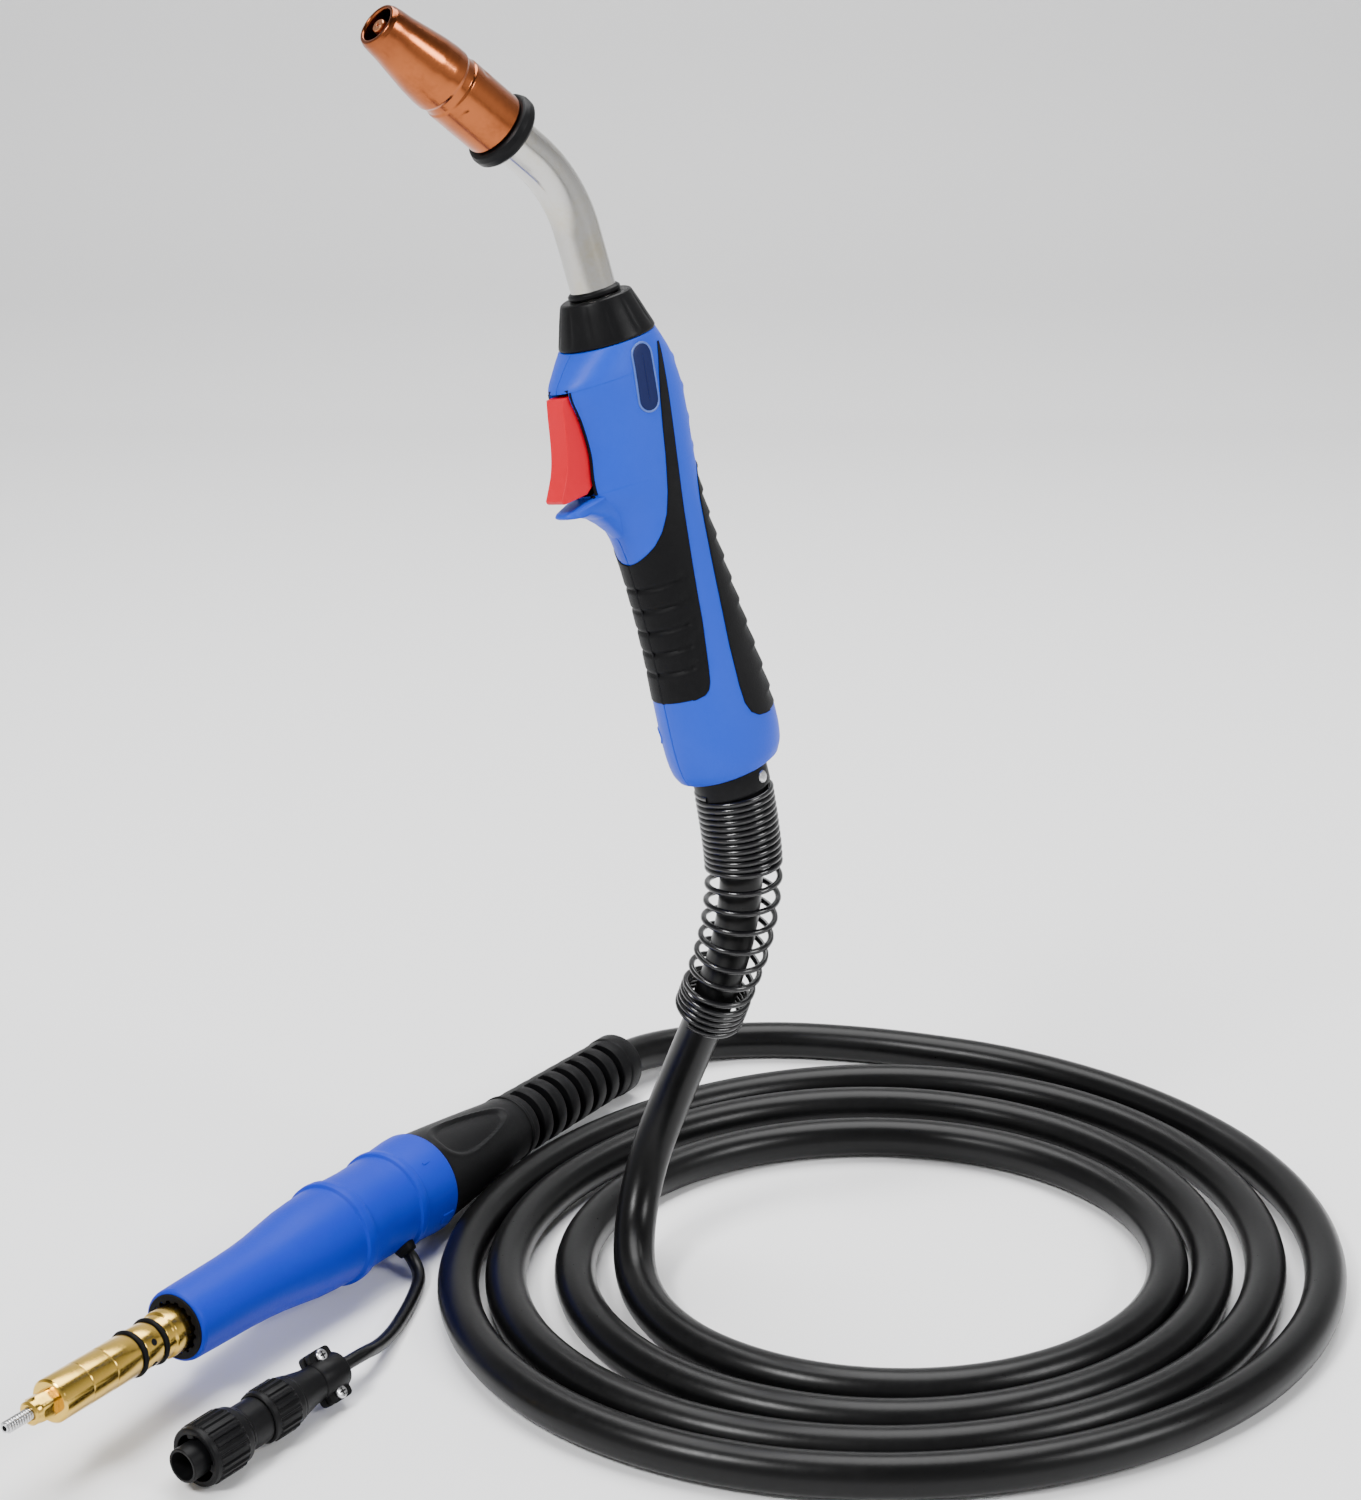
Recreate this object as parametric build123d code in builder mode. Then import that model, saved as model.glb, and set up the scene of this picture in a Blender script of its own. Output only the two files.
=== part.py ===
from build123d import *
import os
from math import cos, pi, radians, sin, sqrt, tan

os.makedirs("parts", exist_ok=True)

# ---------------------------------------------------------------------------
# Driving dimensions, in millimetres and degrees.
# The origin is the middle of the hand grip, on the handle's own axis. The torch
# is held by the hand there, and its cable hangs to the floor and lies in a coil.
# ---------------------------------------------------------------------------
floor_z = -286.0
lean = 15.2              # handle axis from the vertical, top towards -X
twist = 45.0             # trigger side turned from -X towards -Y
grip_to_top = 100.0      # handle top above the origin, along the axis

# Neck and nozzle
neck_od = 16.0
neck_id = 13.4
neck_straight = 22.7
neck_radius = 46.4
neck_bend = 40.2
neck_front = 9.8
nozzle_length = 55.7
nozzle_base_r = 11.5
nozzle_rim_r = 8.0
nozzle_bore_r = 6.0
tip_r = 3.2
tip_bore_r = 0.6
diffuser_r = 6.2
insulator_r = 9.0
moving_gap = 0.3

# Handle
wall = 2.8
grip_depth = 1.5
handle_length = 178.0
collar_length = 15.4
trigger_width = 8.8
trigger_pivot = (24.5, 31.0)
pin_r = 1.5
plunger_station = 51.5

# Cable and rear connector
cable_r = 8.0
spring_r_out = 14.7
spring_r_in = 12.7
spring_start = 186.2
pin_nose = (-209.5, -140.0, floor_z + 33.0)
boot_exit = (-25.0, 170.0, floor_z + 13.0)
power_pin_r = 8.0
boot_mouth = 64.5
boot_end = 209.5
housing_end = 275.0
oring_stations = (40.0, 51.0)

# Control lead and its plug
lead_r = 2.6
plug_nose = (-165.0, -145.3, floor_z + 11.4)
plug_azimuth = 53.8

clearance = 0.05

# ---------------------------------------------------------------------------
# Frames
# ---------------------------------------------------------------------------
up = Vector(-sin(radians(lean)), 0, cos(radians(lean)))
towards_left = Vector(-cos(radians(lean)), 0, -sin(radians(lean)))
towards_hand = Vector(0, -1, 0)
front = towards_left * cos(radians(twist)) + towards_hand * sin(radians(twist))
side = towards_hand * cos(radians(twist)) - towards_left * sin(radians(twist))
handle_top = up * grip_to_top


def torch_point(h, f, s=0.0):
    """Point h below the handle's top, f to the trigger side and s to the badge side."""
    return handle_top - up * h + front * f + side * s


def round_plane(origin, axis, x_dir):
    """Plane whose X is radial and whose Y runs along a turned piece's axis."""
    return Plane(origin=origin, x_dir=x_dir, z_dir=x_dir.cross(axis))


# Side view of the torch: local X is the trigger side, local Y is up the handle.
side_view = Plane(origin=handle_top, x_dir=front, z_dir=front.cross(up))
side_normal = side_view.z_dir
badge_sign = 1.0 if side_normal.dot(side) > 0 else -1.0

bend_start = handle_top + up * neck_straight
bend = radians(neck_bend)
bend_end = bend_start + front * (neck_radius * (1 - cos(bend))) + up * (neck_radius * sin(bend))
muzzle = up * cos(bend) + front * sin(bend)
muzzle_x = front * cos(bend) - up * sin(bend)
nozzle_seat = bend_end + muzzle * neck_front
head_view = round_plane(nozzle_seat, muzzle, muzzle_x)

connector_run = Vector(*boot_exit) - Vector(*pin_nose)
connector_length = connector_run.length
connector_dir = connector_run.normalized()
connector_side = Vector(0, 0, 1).cross(connector_dir).normalized() * -1
connector_up = connector_side.cross(connector_dir)
connector_view = round_plane(Vector(*pin_nose), connector_dir, connector_side)

plug_dir = Vector(cos(radians(plug_azimuth)), sin(radians(plug_azimuth)), 0)
plug_side = Vector(sin(radians(plug_azimuth)), -cos(radians(plug_azimuth)), 0)
plug_view = round_plane(Vector(*plug_nose), plug_dir, plug_side)


def save(piece, label):
    """Label a finished piece and write it as its own STEP file."""
    piece.part.label = label
    export_step(piece.part, "parts/" + label + ".step")


def turned(label, plane, outline, bores=()):
    """Revolve an outline of (radius, station) points about the plane's Y axis."""
    with BuildPart() as piece:
        with BuildSketch(plane):
            with BuildLine():
                Polyline(*outline, close=True)
            make_face()
        revolve(axis=Axis(plane.origin, plane.y_dir))
        for bore_plane, radius, depth in bores:
            with BuildSketch(bore_plane):
                Circle(radius)
            extrude(amount=depth, mode=Mode.SUBTRACT)
    if label:
        save(piece, label)
    return piece


# ---------------------------------------------------------------------------
# Torch head, from the nozzle back to the neck
# ---------------------------------------------------------------------------
nozzle_start = 7.0
nozzle_end = nozzle_start + nozzle_length
barrel_end = nozzle_start + 24.0
bore_seat = insulator_r + moving_gap
turned("nozzle", head_view, [
    (bore_seat, nozzle_start), (nozzle_base_r - 0.4, nozzle_start), (nozzle_base_r, nozzle_start + 1),
    (nozzle_base_r, barrel_end - 3), (nozzle_base_r - 0.5, barrel_end), (nozzle_base_r + 0.2, barrel_end + 4),
    (nozzle_base_r - 0.3, barrel_end + 10), (nozzle_rim_r + 0.3, nozzle_end - 3), (nozzle_rim_r, nozzle_end - 1),
    (nozzle_rim_r - 0.6, nozzle_end), (nozzle_bore_r + 0.3, nozzle_end), (nozzle_bore_r, nozzle_end - 1),
    (nozzle_bore_r, nozzle_end - 14), (bore_seat, nozzle_end - 26)])

diffuser_end = 36.0
tip_end = nozzle_end - 0.5
turned("contact_tip", head_view, [
    (tip_bore_r, diffuser_end - 8), (2.4, diffuser_end - 8), (2.4, diffuser_end), (tip_r, diffuser_end),
    (tip_r, tip_end - 5), (tip_r - 0.8, tip_end), (tip_bore_r, tip_end)])

gas_ports = []
for port in range(4):
    angle = radians(90 * port + 45)
    outward = head_view.x_dir * cos(angle) + head_view.z_dir * sin(angle)
    gas_ports.append((Plane(origin=nozzle_seat + muzzle * 29.0, z_dir=outward), 1.0, diffuser_r + 2))
turned("gas_diffuser", head_view, [
    (2.45, -4), (4.6, -4), (4.6, 3), (7.0, 3), (7.0, 24), (diffuser_r, 25), (diffuser_r, diffuser_end - 1),
    (diffuser_r - 1, diffuser_end), (2.45, diffuser_end)], gas_ports)

turned("nozzle_insulator", head_view, [
    (7.05, 2), (13.2, 2), (13.6, 3), (13.6, 5.6), (13.0, 6.6), (insulator_r, 6.6), (insulator_r, 11),
    (insulator_r - 0.9, 11), (insulator_r - 0.9, 13.2), (insulator_r, 13.2), (insulator_r, 23), (7.05, 23)])

turned("insulator_clip", head_view, [
    (insulator_r - 0.85, 11.1), (insulator_r - 0.05, 11.1), (insulator_r - 0.05, 13.1),
    (insulator_r - 0.85, 13.1)])

neck_base = handle_top - up * 24.0


def bent_tube(label, r_out, r_in, start, tail):
    """Tube that follows the neck's bend, from the handle to a point behind the nozzle seat."""
    with BuildPart() as piece:
        with BuildLine(side_view) as path:
            low = Line((0, start), (0, neck_straight))
            arc = JernArc(start=low @ 1, tangent=low % 1, radius=neck_radius, arc_size=-neck_bend)
            Line(arc @ 1, (arc @ 1) + (arc % 1) * (neck_front + tail))
        with BuildSketch(Plane(origin=path.line @ 0, x_dir=side, z_dir=up)):
            Circle(r_out)
            Circle(r_in, mode=Mode.SUBTRACT)
        sweep(path=path.line)
    save(piece, label)
    return piece


bent_tube("neck_jacket", neck_od / 2, neck_id / 2, -14.0, 1.9)
bent_tube("neck_insulation", neck_id / 2, 4.65, -20.0, -4.1)
bent_tube("neck_conductor", 4.6, 2.5, -24.0, -4.0)
bent_tube("wire_liner", 2.3, 1.0, -56.0, 0.0)

# ---------------------------------------------------------------------------
# Handle: a sculpted body split on the trigger plane
# ---------------------------------------------------------------------------
# Each row is a section: station below the top, reach to the trigger side,
# reach to the back, and half width.
sections = [
    (collar_length, 18.0, 17.2, 17.2), (20.0, 23.6, 19.6, 17.2), (26.0, 29.0, 22.0, 17.2),
    (37.0, 27.8, 23.4, 17.1), (48.5, 27.8, 22.4, 16.8), (58.5, 30.0, 20.8, 16.4), (65.5, 29.6, 19.9, 16.1),
    (73.0, 24.5, 19.4, 15.8), (84.0, 19.9, 19.6, 15.6), (104.0, 18.8, 21.2, 15.6), (126.0, 19.4, 23.2, 16.3),
    (148.0, 21.4, 25.0, 17.5), (164.0, 22.4, 25.4, 18.0), (173.0, 21.6, 24.0, 17.6),
    (handle_length, 19.0, 20.6, 16.4)]


def handle_body(skin, first=0.0, last=0.0):
    """Lofted body of the handle, its sections drawn in by skin and its ends by first and last."""
    with BuildPart() as body:
        for station, reach, back, half in sections:
            if station == sections[0][0]:
                station += first
            if station == handle_length:
                station -= last
            with BuildSketch(Plane(origin=torch_point(station, 0), x_dir=front, z_dir=up)):
                with BuildLine():
                    EllipticalCenterArc((0, 0), reach - skin, half - skin, start_angle=-90, arc_size=180)
                    EllipticalCenterArc((0, 0), back - skin, half - skin, start_angle=90, arc_size=180)
                make_face()
        loft()
    return body.part


def side_prism(points, low, high):
    """Prism over a side view outline of (reach, station) points, from low to high across the torch."""
    with BuildPart() as prism:
        with BuildSketch(side_view.offset(low)):
            with BuildLine():
                Polyline(*[(f, -h) for f, h in points], close=True)
            make_face()
        extrude(amount=high - low)
    return prism.part


outer_body = handle_body(0.0)
pocket_body = handle_body(grip_depth, 0.0, 0.0)
cavity_body = handle_body(wall, 3.0, 3.0)

finger_hook = side_prism([
    (10, 63.1), (27, 63.1), (34, 63.5), (42.4, 64.7), (43.0, 65.9), (38, 67.7), (31, 69.3), (26.5, 72.5), (22, 79),
    (18.5, 87), (10, 87)], -6.5, 6.5)
front_grip_zone = side_prism([
    (-9.4, 20), (-8.0, 20), (-2.0, 38), (2.6, 58), (7.4, 76.5), (10.5, 84.5), (16, 90), (30, 92.5), (30, 141),
    (13, 144), (10.9, 142), (9.5, 136), (6.3, 118), (3.8, 98), (1.0, 78), (-2.2, 58), (-6.0, 38)], -30, 30)
rear_grip_zone = side_prism([
    (-40, 66), (-15.5, 67), (-12.0, 72), (-9.6, 78), (-6.6, 98), (-4.0, 118), (-2.0, 132), (-0.9, 145),
    (-1.4, 154), (-4.5, 158), (-12, 160), (-40, 160)], -30, 30)

with BuildPart() as handle_skin:
    add(outer_body)
    add(pocket_body, mode=Mode.SUBTRACT)
skin = handle_skin.part

boss_places = [(14.0, 22.6), (-14.0, 62.0), (-13.5, 112.0), (-18.2, 158.0), (17.4, 158.0)]
switch_posts = [(14.0, 42.2), (16.9, 60.8)]
head_seat = 7.0


# Blank name plate, let into the badge side of the handle
badge_depth = 0.5
with BuildPart() as badge:
    with BuildSketch(side_view.offset(10.0 * badge_sign)):
        with Locations((2.8, -29.2)):
            SlotOverall(23.5, 8.6, rotation=98)
    extrude(amount=badge_sign * 20)
with BuildPart() as badge_plate:
    add(badge.part & (outer_body - handle_body(badge_depth)))
save(badge_plate, "badge_plate")

with BuildPart() as handle:
    add(outer_body)
    add(finger_hook)
    add(cavity_body, mode=Mode.SUBTRACT)
    with BuildSketch(Plane(origin=handle_top, x_dir=front, z_dir=up * -1)):
        Circle(8.4)
    extrude(amount=40, mode=Mode.SUBTRACT)
    with BuildSketch(Plane(origin=torch_point(handle_length + 5, 0), x_dir=front, z_dir=up)):
        Circle(13.65)
    extrude(amount=24, mode=Mode.SUBTRACT)
    # Slot that the trigger works in
    with BuildSketch(Plane(origin=torch_point(44.3, 30), x_dir=side, z_dir=front)):
        Rectangle(trigger_width + 0.8, 36.4)
    extrude(amount=12, both=True, mode=Mode.SUBTRACT)
    # Blind cross hole for the trigger's pin
    with BuildSketch(side_view):
        with Locations((trigger_pivot[0], -trigger_pivot[1])):
            Circle(pin_r)
    extrude(amount=7.5, both=True, mode=Mode.SUBTRACT)

handle_solid = handle.part - (skin & front_grip_zone) - (skin & rear_grip_zone) - badge_plate.part


def half_space(sign):
    """Big box on one side of the trigger plane."""
    return side_prism([(-60, -20), (60, -20), (60, 200), (-60, 200)], min(0.0, sign * 40), max(0.0, sign * 40))


for label, sign in (("left", -badge_sign), ("right", badge_sign)):
    bosses = Part()
    holes = Part()
    for f, h in boss_places:
        with BuildPart() as boss:
            with BuildSketch(side_view):
                with Locations((f, -h)):
                    Circle(3.0)
            extrude(amount=sign * 22.0)
        with BuildPart() as hole:
            with BuildSketch(side_view):
                with Locations((f, -h)):
                    Circle(1.25)
            extrude(amount=sign * (8.0 if label == "right" else 22.0))
            if label == "left":
                with BuildSketch(side_view.offset(sign * head_seat)):
                    with Locations((f, -h)):
                        Circle(2.3)
                extrude(amount=sign * 16.0)
        bosses = bosses + (boss.part & cavity_body)
        holes = holes + hole.part
    for f, h in switch_posts:
        with BuildPart() as post:
            with BuildSketch(side_view):
                with Locations((f, -h)):
                    Circle(1.6)
            extrude(amount=sign * 22.0)
        bosses = bosses + (post.part & cavity_body)
    with BuildPart() as shell:
        add((handle_solid & half_space(sign)) + bosses - holes)
    save(shell, "handle_shell_" + label)
    with BuildPart() as front_grip:
        add(skin & front_grip_zone & half_space(sign))
    save(front_grip, "front_grip_" + label)
    with BuildPart() as rear_grip:
        add((skin & rear_grip_zone & half_space(sign)) - holes)
    save(rear_grip, "rear_grip_" + label)

with BuildPart() as handle_screws:
    for f, h in boss_places:
        with BuildSketch(side_view.offset(badge_sign * 6.0)):
            with Locations((f, -h)):
                Circle(1.2)
        extrude(amount=-badge_sign * 15.0)
        with BuildSketch(side_view.offset(-badge_sign * head_seat)):
            with Locations((f, -h)):
                Circle(2.2)
        extrude(amount=-badge_sign * 1.6)
save(handle_screws, "handle_screws")

# ---------------------------------------------------------------------------
# Inside the handle, and the trigger
# ---------------------------------------------------------------------------
handle_view = round_plane(handle_top, up * -1, front)

turned("handle_lock_nut", handle_view, [
    (8.35, 0), (12.4, 0), (13.0, 0.7), (17.3, 14.2), (17.3, 15.1), (14.0, 15.1), (14.0, 9.0), (8.35, 6.0)])
turned("spigot_ring", handle_view, [(8.25, 9.4), (13.6, 9.4), (13.6, 15.35), (8.25, 15.35)])
turned("neck_connector_block", handle_view, [
    (6.75, 14.1), (8.2, 14.1), (8.2, 62), (2.4, 62), (2.4, 24.1), (4.65, 24.1), (4.65, 20.1), (6.75, 20.1)])

with BuildPart() as trigger:
    with BuildSketch(side_view.offset(-trigger_width / 2)):
        with BuildLine():
            face = ThreePointArc((30.6, -27.3), (34.6, -42.0), (43.4, -59.5))
            Polyline(face @ 1, (42.6, -60.9), (31.5, -61.1), (23.6, -56.5), (22.2, -51.5), (21.4, -38.5),
                     (21.4, -29.5), (23.2, -27.5), face @ 0)
        make_face()
    extrude(amount=trigger_width)
    with BuildSketch(side_view):
        with Locations((trigger_pivot[0], -trigger_pivot[1])):
            Circle(pin_r + clearance)
    extrude(amount=trigger_width, both=True, mode=Mode.SUBTRACT)
save(trigger, "trigger")

with BuildPart() as trigger_pin:
    with BuildSketch(side_view):
        with Locations((trigger_pivot[0], -trigger_pivot[1])):
            Circle(pin_r)
    extrude(amount=7.4, both=True)
save(trigger_pin, "trigger_pin")

switch_top = 18.2
switch_plane = Plane(origin=torch_point(plunger_station, switch_top), x_dir=side, z_dir=front * -1)
with BuildPart() as switch_body:
    with BuildSketch(switch_plane):
        Rectangle(6.4, 15.0)
    extrude(amount=8.6)
    with BuildSketch(switch_plane):
        Circle(1.5 + clearance)
    extrude(amount=4.4, mode=Mode.SUBTRACT)
save(switch_body, "switch_body")

with BuildPart() as switch_plunger:
    with BuildSketch(switch_plane.offset(2.4)):
        Circle(1.5)
    extrude(amount=-6.1)
save(switch_plunger, "switch_plunger")

with BuildPart() as switch_terminals:
    for across in (-1.8, 1.8):
        with BuildSketch(Plane(origin=torch_point(59.0, 12.0, across), x_dir=side, z_dir=up * -1)):
            Rectangle(0.6, 2.6)
        extrude(amount=5.5)
save(switch_terminals, "switch_terminals")

with BuildPart() as switch_leads:
    for across in (-1.8, 1.8):
        start = torch_point(64.6, 12.0, across)
        with BuildLine() as lead_path:
            Polyline(start, torch_point(84, 11.2, across), torch_point(128, 10.4, across * 0.7))
        with BuildSketch(Plane(origin=start, z_dir=lead_path.line % 0)):
            Circle(0.8)
        sweep(path=lead_path.line, transition=Transition.RIGHT)
save(switch_leads, "switch_leads")

holder_end = 184.5
turned("spring_holder", handle_view, [
    (9.4, 160.5), (13.6, 160.5), (13.6, holder_end), (11.6, holder_end), (11.6, 192), (9.4, 192)])

rivet_axis = (side * cos(radians(12)) - front * sin(radians(12))).normalized()
rivet_seat = torch_point(181.4, 0) + rivet_axis * 13.45
with BuildPart() as holder_rivet:
    with BuildSketch(Plane(origin=rivet_seat, z_dir=rivet_axis)):
        Circle(2.2)
    extrude(amount=0.9)
    fillet(holder_rivet.faces().sort_by(Axis(rivet_seat, rivet_axis))[-1].edges(), radius=0.6)
save(holder_rivet, "holder_rivet")

cable_start = 150.0
turned("cable_in_handle", handle_view, [(0, 62.1), (cable_r, 62.1), (cable_r, cable_start), (0, cable_start)])

# ---------------------------------------------------------------------------
# Main cable: down from the handle, round the coil and into the rear connector
# ---------------------------------------------------------------------------
coil_z = floor_z + cable_r


def corner_radii(points):
    """Largest tangent radii that fit a route: 0.45 of the shorter run over tan(half turn)."""
    radii = []
    for before, here, after in zip(points, points[1:], points[2:]):
        first = Vector(*here) - Vector(*before)
        second = Vector(*after) - Vector(*here)
        turn = radians(first.get_angle(second))
        radii.append(0.45 * min(first.length, second.length) / tan(turn / 2))
    return radii


def cord_tube(label, points, r_out, r_in=0.0):
    """Tube along straight runs joined by tangent arcs, with its radii and volume reported."""
    radii = corner_radii(points)
    with BuildPart() as piece:
        with BuildLine():
            path = FilletPolyline(*points, radius=radii)
        with BuildSketch(Plane(origin=path @ 0, z_dir=path % 0)):
            Circle(r_out)
            if r_in > 0:
                Circle(r_in, mode=Mode.SUBTRACT)
        sweep(path=path)
    expected = pi * (r_out ** 2 - r_in ** 2) * path.length
    print(label, "length", round(path.length, 1), "radii", [round(r) for r in radii],
          "volume ratio", round(piece.part.volume / expected, 4))
    save(piece, label)
    return piece


handle_exit = torch_point(cable_start, 0)
riser_route = [
    tuple(handle_exit), tuple(torch_point(185.6, 0)), (26.4, 0.5, -114.0), (23.6, 3.0, -143.0), (16.0, 9.0, -170.0),
    (7.5, 18.0, -196.0), (-1.0, 24.0, -221.0), (-9.5, 22.0, -244.0), (-14.5, 10.0, -264.0),
    (-15.0, -9.0, -275.5), (-9.5, -33.0, coil_z)]
cord_tube("main_cable_riser", riser_route, cable_r)

spring_route = [tuple(torch_point(spring_start, 0))] + riser_route[2:5] + [(12.1, 13.0, -182.0)]
cord_tube("strain_relief_spring", spring_route, spring_r_out, spring_r_in)

tail_end = Vector(*boot_exit) - connector_dir * 16.0
tail_corner = Vector(*boot_exit) + connector_dir * 10.0
tail_route = [
    (106.3, 195.8, coil_z), (79.0, 202.1, coil_z), (51.3, 206.0, coil_z), (24.3, 204.6, coil_z),
    (0.0, 195.3, coil_z + 2.0), tuple(tail_corner), tuple(tail_end)]
cord_tube("main_cable_tail", tail_route, cable_r)

coil_centre = (86.0, 24.0)
coil_reach = (176.0, 178.0)
eye_centre = (88.5, 7.5)
eye_reach = (96.7, 91.5)
with BuildPart() as main_cable_coil:
    with BuildSketch(Plane.XY.offset(floor_z)):
        with Locations(coil_centre):
            Ellipse(*coil_reach)
        with Locations(eye_centre):
            Ellipse(*eye_reach, mode=Mode.SUBTRACT)
    extrude(amount=2 * cable_r)
    fillet(main_cable_coil.edges(), radius=cable_r - 0.5)
    with BuildSketch(Plane(origin=Vector(*pin_nose) + connector_dir * 150, z_dir=connector_dir)):
        Circle(21.0)
    extrude(amount=connector_length - 130, mode=Mode.SUBTRACT)
save(main_cable_coil, "main_cable_coil")

# ---------------------------------------------------------------------------
# Rear connector
# ---------------------------------------------------------------------------
lead_station = 182.0
lead_angle = radians(42)
lead_out = connector_side * cos(lead_angle) - connector_up * sin(lead_angle)
lead_root = Vector(*pin_nose) + connector_dir * lead_station


def lead_point(reach):
    """Point on the control lead's exit line, reach from the connector's axis."""
    return lead_root + lead_out * reach


pin_tail = 112.0
gas_holes = []
for port in range(4):
    angle = radians(90 * port + 20)
    outward = connector_side * cos(angle) + connector_up * sin(angle)
    gas_holes.append((Plane(origin=Vector(*pin_nose) + connector_dir * 45.5, z_dir=outward), 1.0, 12.0))
pin_outline = [(2.4, 0), (7.3, 0), (power_pin_r, 0.8)]
for station in oring_stations:
    pin_outline += [(power_pin_r, station - 1.4), (6.9, station - 1.4), (6.9, station + 1.4),
                    (power_pin_r, station + 1.4)]
pin_outline += [(power_pin_r, 55.6), (8.9, 56.2), (8.9, 72), (7.4, 72), (7.4, pin_tail), (2.4, pin_tail)]
turned("power_pin", connector_view, pin_outline, gas_holes)

with BuildPart() as pin_o_rings:
    with BuildSketch(connector_view):
        with Locations(*[(7.88, station) for station in oring_stations]):
            Circle(0.96)
    revolve(axis=Axis(connector_view.origin, connector_view.y_dir))
save(pin_o_rings, "pin_o_rings")

with BuildPart() as liner_nut:
    with BuildSketch(Plane(origin=Vector(*pin_nose) - connector_dir * 0.05, z_dir=connector_dir * -1)):
        RegularPolygon(5.2, 6)
        Circle(2.35, mode=Mode.SUBTRACT)
    extrude(amount=7.0)
save(liner_nut, "liner_nut")

turned("liner_end", connector_view, [(1.0, -21), (2.3, -21), (2.3, 60), (1.0, 60)])

turned("rear_boot", connector_view, [
    (9.6, boot_mouth), (13.2, boot_mouth), (13.7, boot_mouth + 1.2), (15.0, 98), (15.8, 112), (17.6, 130),
    (19.3, 146), (19.7, 152), (20.4, 152.6), (20.4, 157), (19.8, 157.6), (19.8, 186), (20.4, 186.6),
    (20.4, 190), (20.2, 190.6), (20.9, 204), (20.9, boot_end), (18.8, boot_end), (18.8, 156), (9.6, 108)],
    [(Plane(origin=lead_point(17.0), z_dir=lead_out), 4.45, 8.0)])

housing_start = 157.0
turned("rear_housing", connector_view, [
    (9.5, housing_start), (18.5, housing_start), (18.5, boot_end + 0.2), (19.4, boot_end + 0.3),
    (18.6, 224), (16.4, 246), (14.4, 264), (13.7, housing_end), (8.1, housing_end), (8.1, 262), (11.5, 254),
    (15.5, 224), (15.5, 184), (9.5, 178)])

relief_end = connector_length
slot_count = 7
slot_pitch = 10.6
slot_width = 4.4
spine = connector_up * cos(radians(20)) + connector_side * sin(radians(20))
with BuildPart() as relief_core:
    with BuildSketch(Plane(origin=Vector(*pin_nose) + connector_dir * housing_end, z_dir=connector_dir)):
        Circle(9.9)
    extrude(amount=100)
with BuildPart() as relief_slots:
    for index in range(slot_count):
        station = housing_end + 4.0 + slot_pitch * index
        with BuildSketch(Plane(origin=Vector(*pin_nose) + connector_dir * station, x_dir=spine,
                               z_dir=connector_dir)):
            with Locations((0, 12.2), (0, -12.2)):
                Rectangle(40, 20)
        extrude(amount=slot_width)
relief = turned(None, connector_view, [
    (8.1, housing_end + 0.1), (13.6, housing_end + 0.1), (13.0, relief_end - 9), (13.5, relief_end - 8.6),
    (13.5, relief_end - 1), (12.9, relief_end), (8.1, relief_end)])
with BuildPart() as rear_strain_relief:
    add(relief.part - (relief_slots.part - relief_core.part))
save(rear_strain_relief, "rear_strain_relief")

crimp_start = 136.0
turned("rear_cable_ferrule", connector_view, [
    (2.4, pin_tail + 0.1), (9.3, pin_tail + 0.1), (9.3, 178), (8.05, 178), (8.05, crimp_start),
    (2.4, crimp_start)])
turned("cable_in_connector", connector_view, [
    (0, crimp_start + 0.1), (cable_r, crimp_start + 0.1), (cable_r, connector_length - 16.0),
    (0, connector_length - 16.0)])

# ---------------------------------------------------------------------------
# Control lead and its plug
# ---------------------------------------------------------------------------
with BuildPart() as lead_grommet:
    with BuildSketch(Plane(origin=lead_point(18.9), z_dir=lead_out)):
        Circle(4.4)
        Circle(lead_r + 0.05, mode=Mode.SUBTRACT)
    extrude(amount=3.4, taper=6)
save(lead_grommet, "lead_grommet")

plug_length = 77.0
plug_tail = Vector(*plug_nose) + plug_dir * plug_length
lead_route = [
    tuple(lead_point(20.0)), tuple(lead_point(25.4)), (-97.6, -2.0, floor_z + lead_r),
    (-98.6, -15.0, floor_z + lead_r), (-101.2, -30.0, floor_z + lead_r), (-104.3, -45.0, floor_z + 3.4),
    (-108.0, -59.5, floor_z + 6.2), tuple(plug_tail + plug_dir * 12.0),
    tuple(plug_tail - plug_dir * 2.0)]
cord_tube("control_lead", lead_route, lead_r)

plug_roll = radians(52)
plug_x = plug_side * cos(plug_roll) - Vector(0, 0, sin(plug_roll))
plug_screw_axis = plug_side * sin(plug_roll) + Vector(0, 0, cos(plug_roll))
plug_view = round_plane(Vector(*plug_nose), plug_dir, plug_x)


def plug_plane(station):
    """Plane across the plug at a station, with its X along the line of the clamp screws."""
    return Plane(origin=Vector(*plug_nose) + plug_dir * station, x_dir=plug_x, z_dir=plug_dir)


turned("plug_barrel", plug_view, [(5.2, 0), (6.3, 0), (6.3, 19), (8.4, 20), (8.4, 25.4), (5.2, 25.4)])

with BuildPart() as plug_insert:
    with BuildSketch(plug_plane(8.0)):
        Circle(5.15)
        with PolarLocations(2.7, 4):
            Circle(0.95, mode=Mode.SUBTRACT)
    extrude(amount=17.0)
save(plug_insert, "plug_insert")

with BuildPart() as plug_contacts:
    with BuildSketch(plug_plane(9.0)):
        with PolarLocations(2.7, 4):
            Circle(0.9)
    extrude(amount=20.0)
save(plug_contacts, "plug_contacts")


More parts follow.
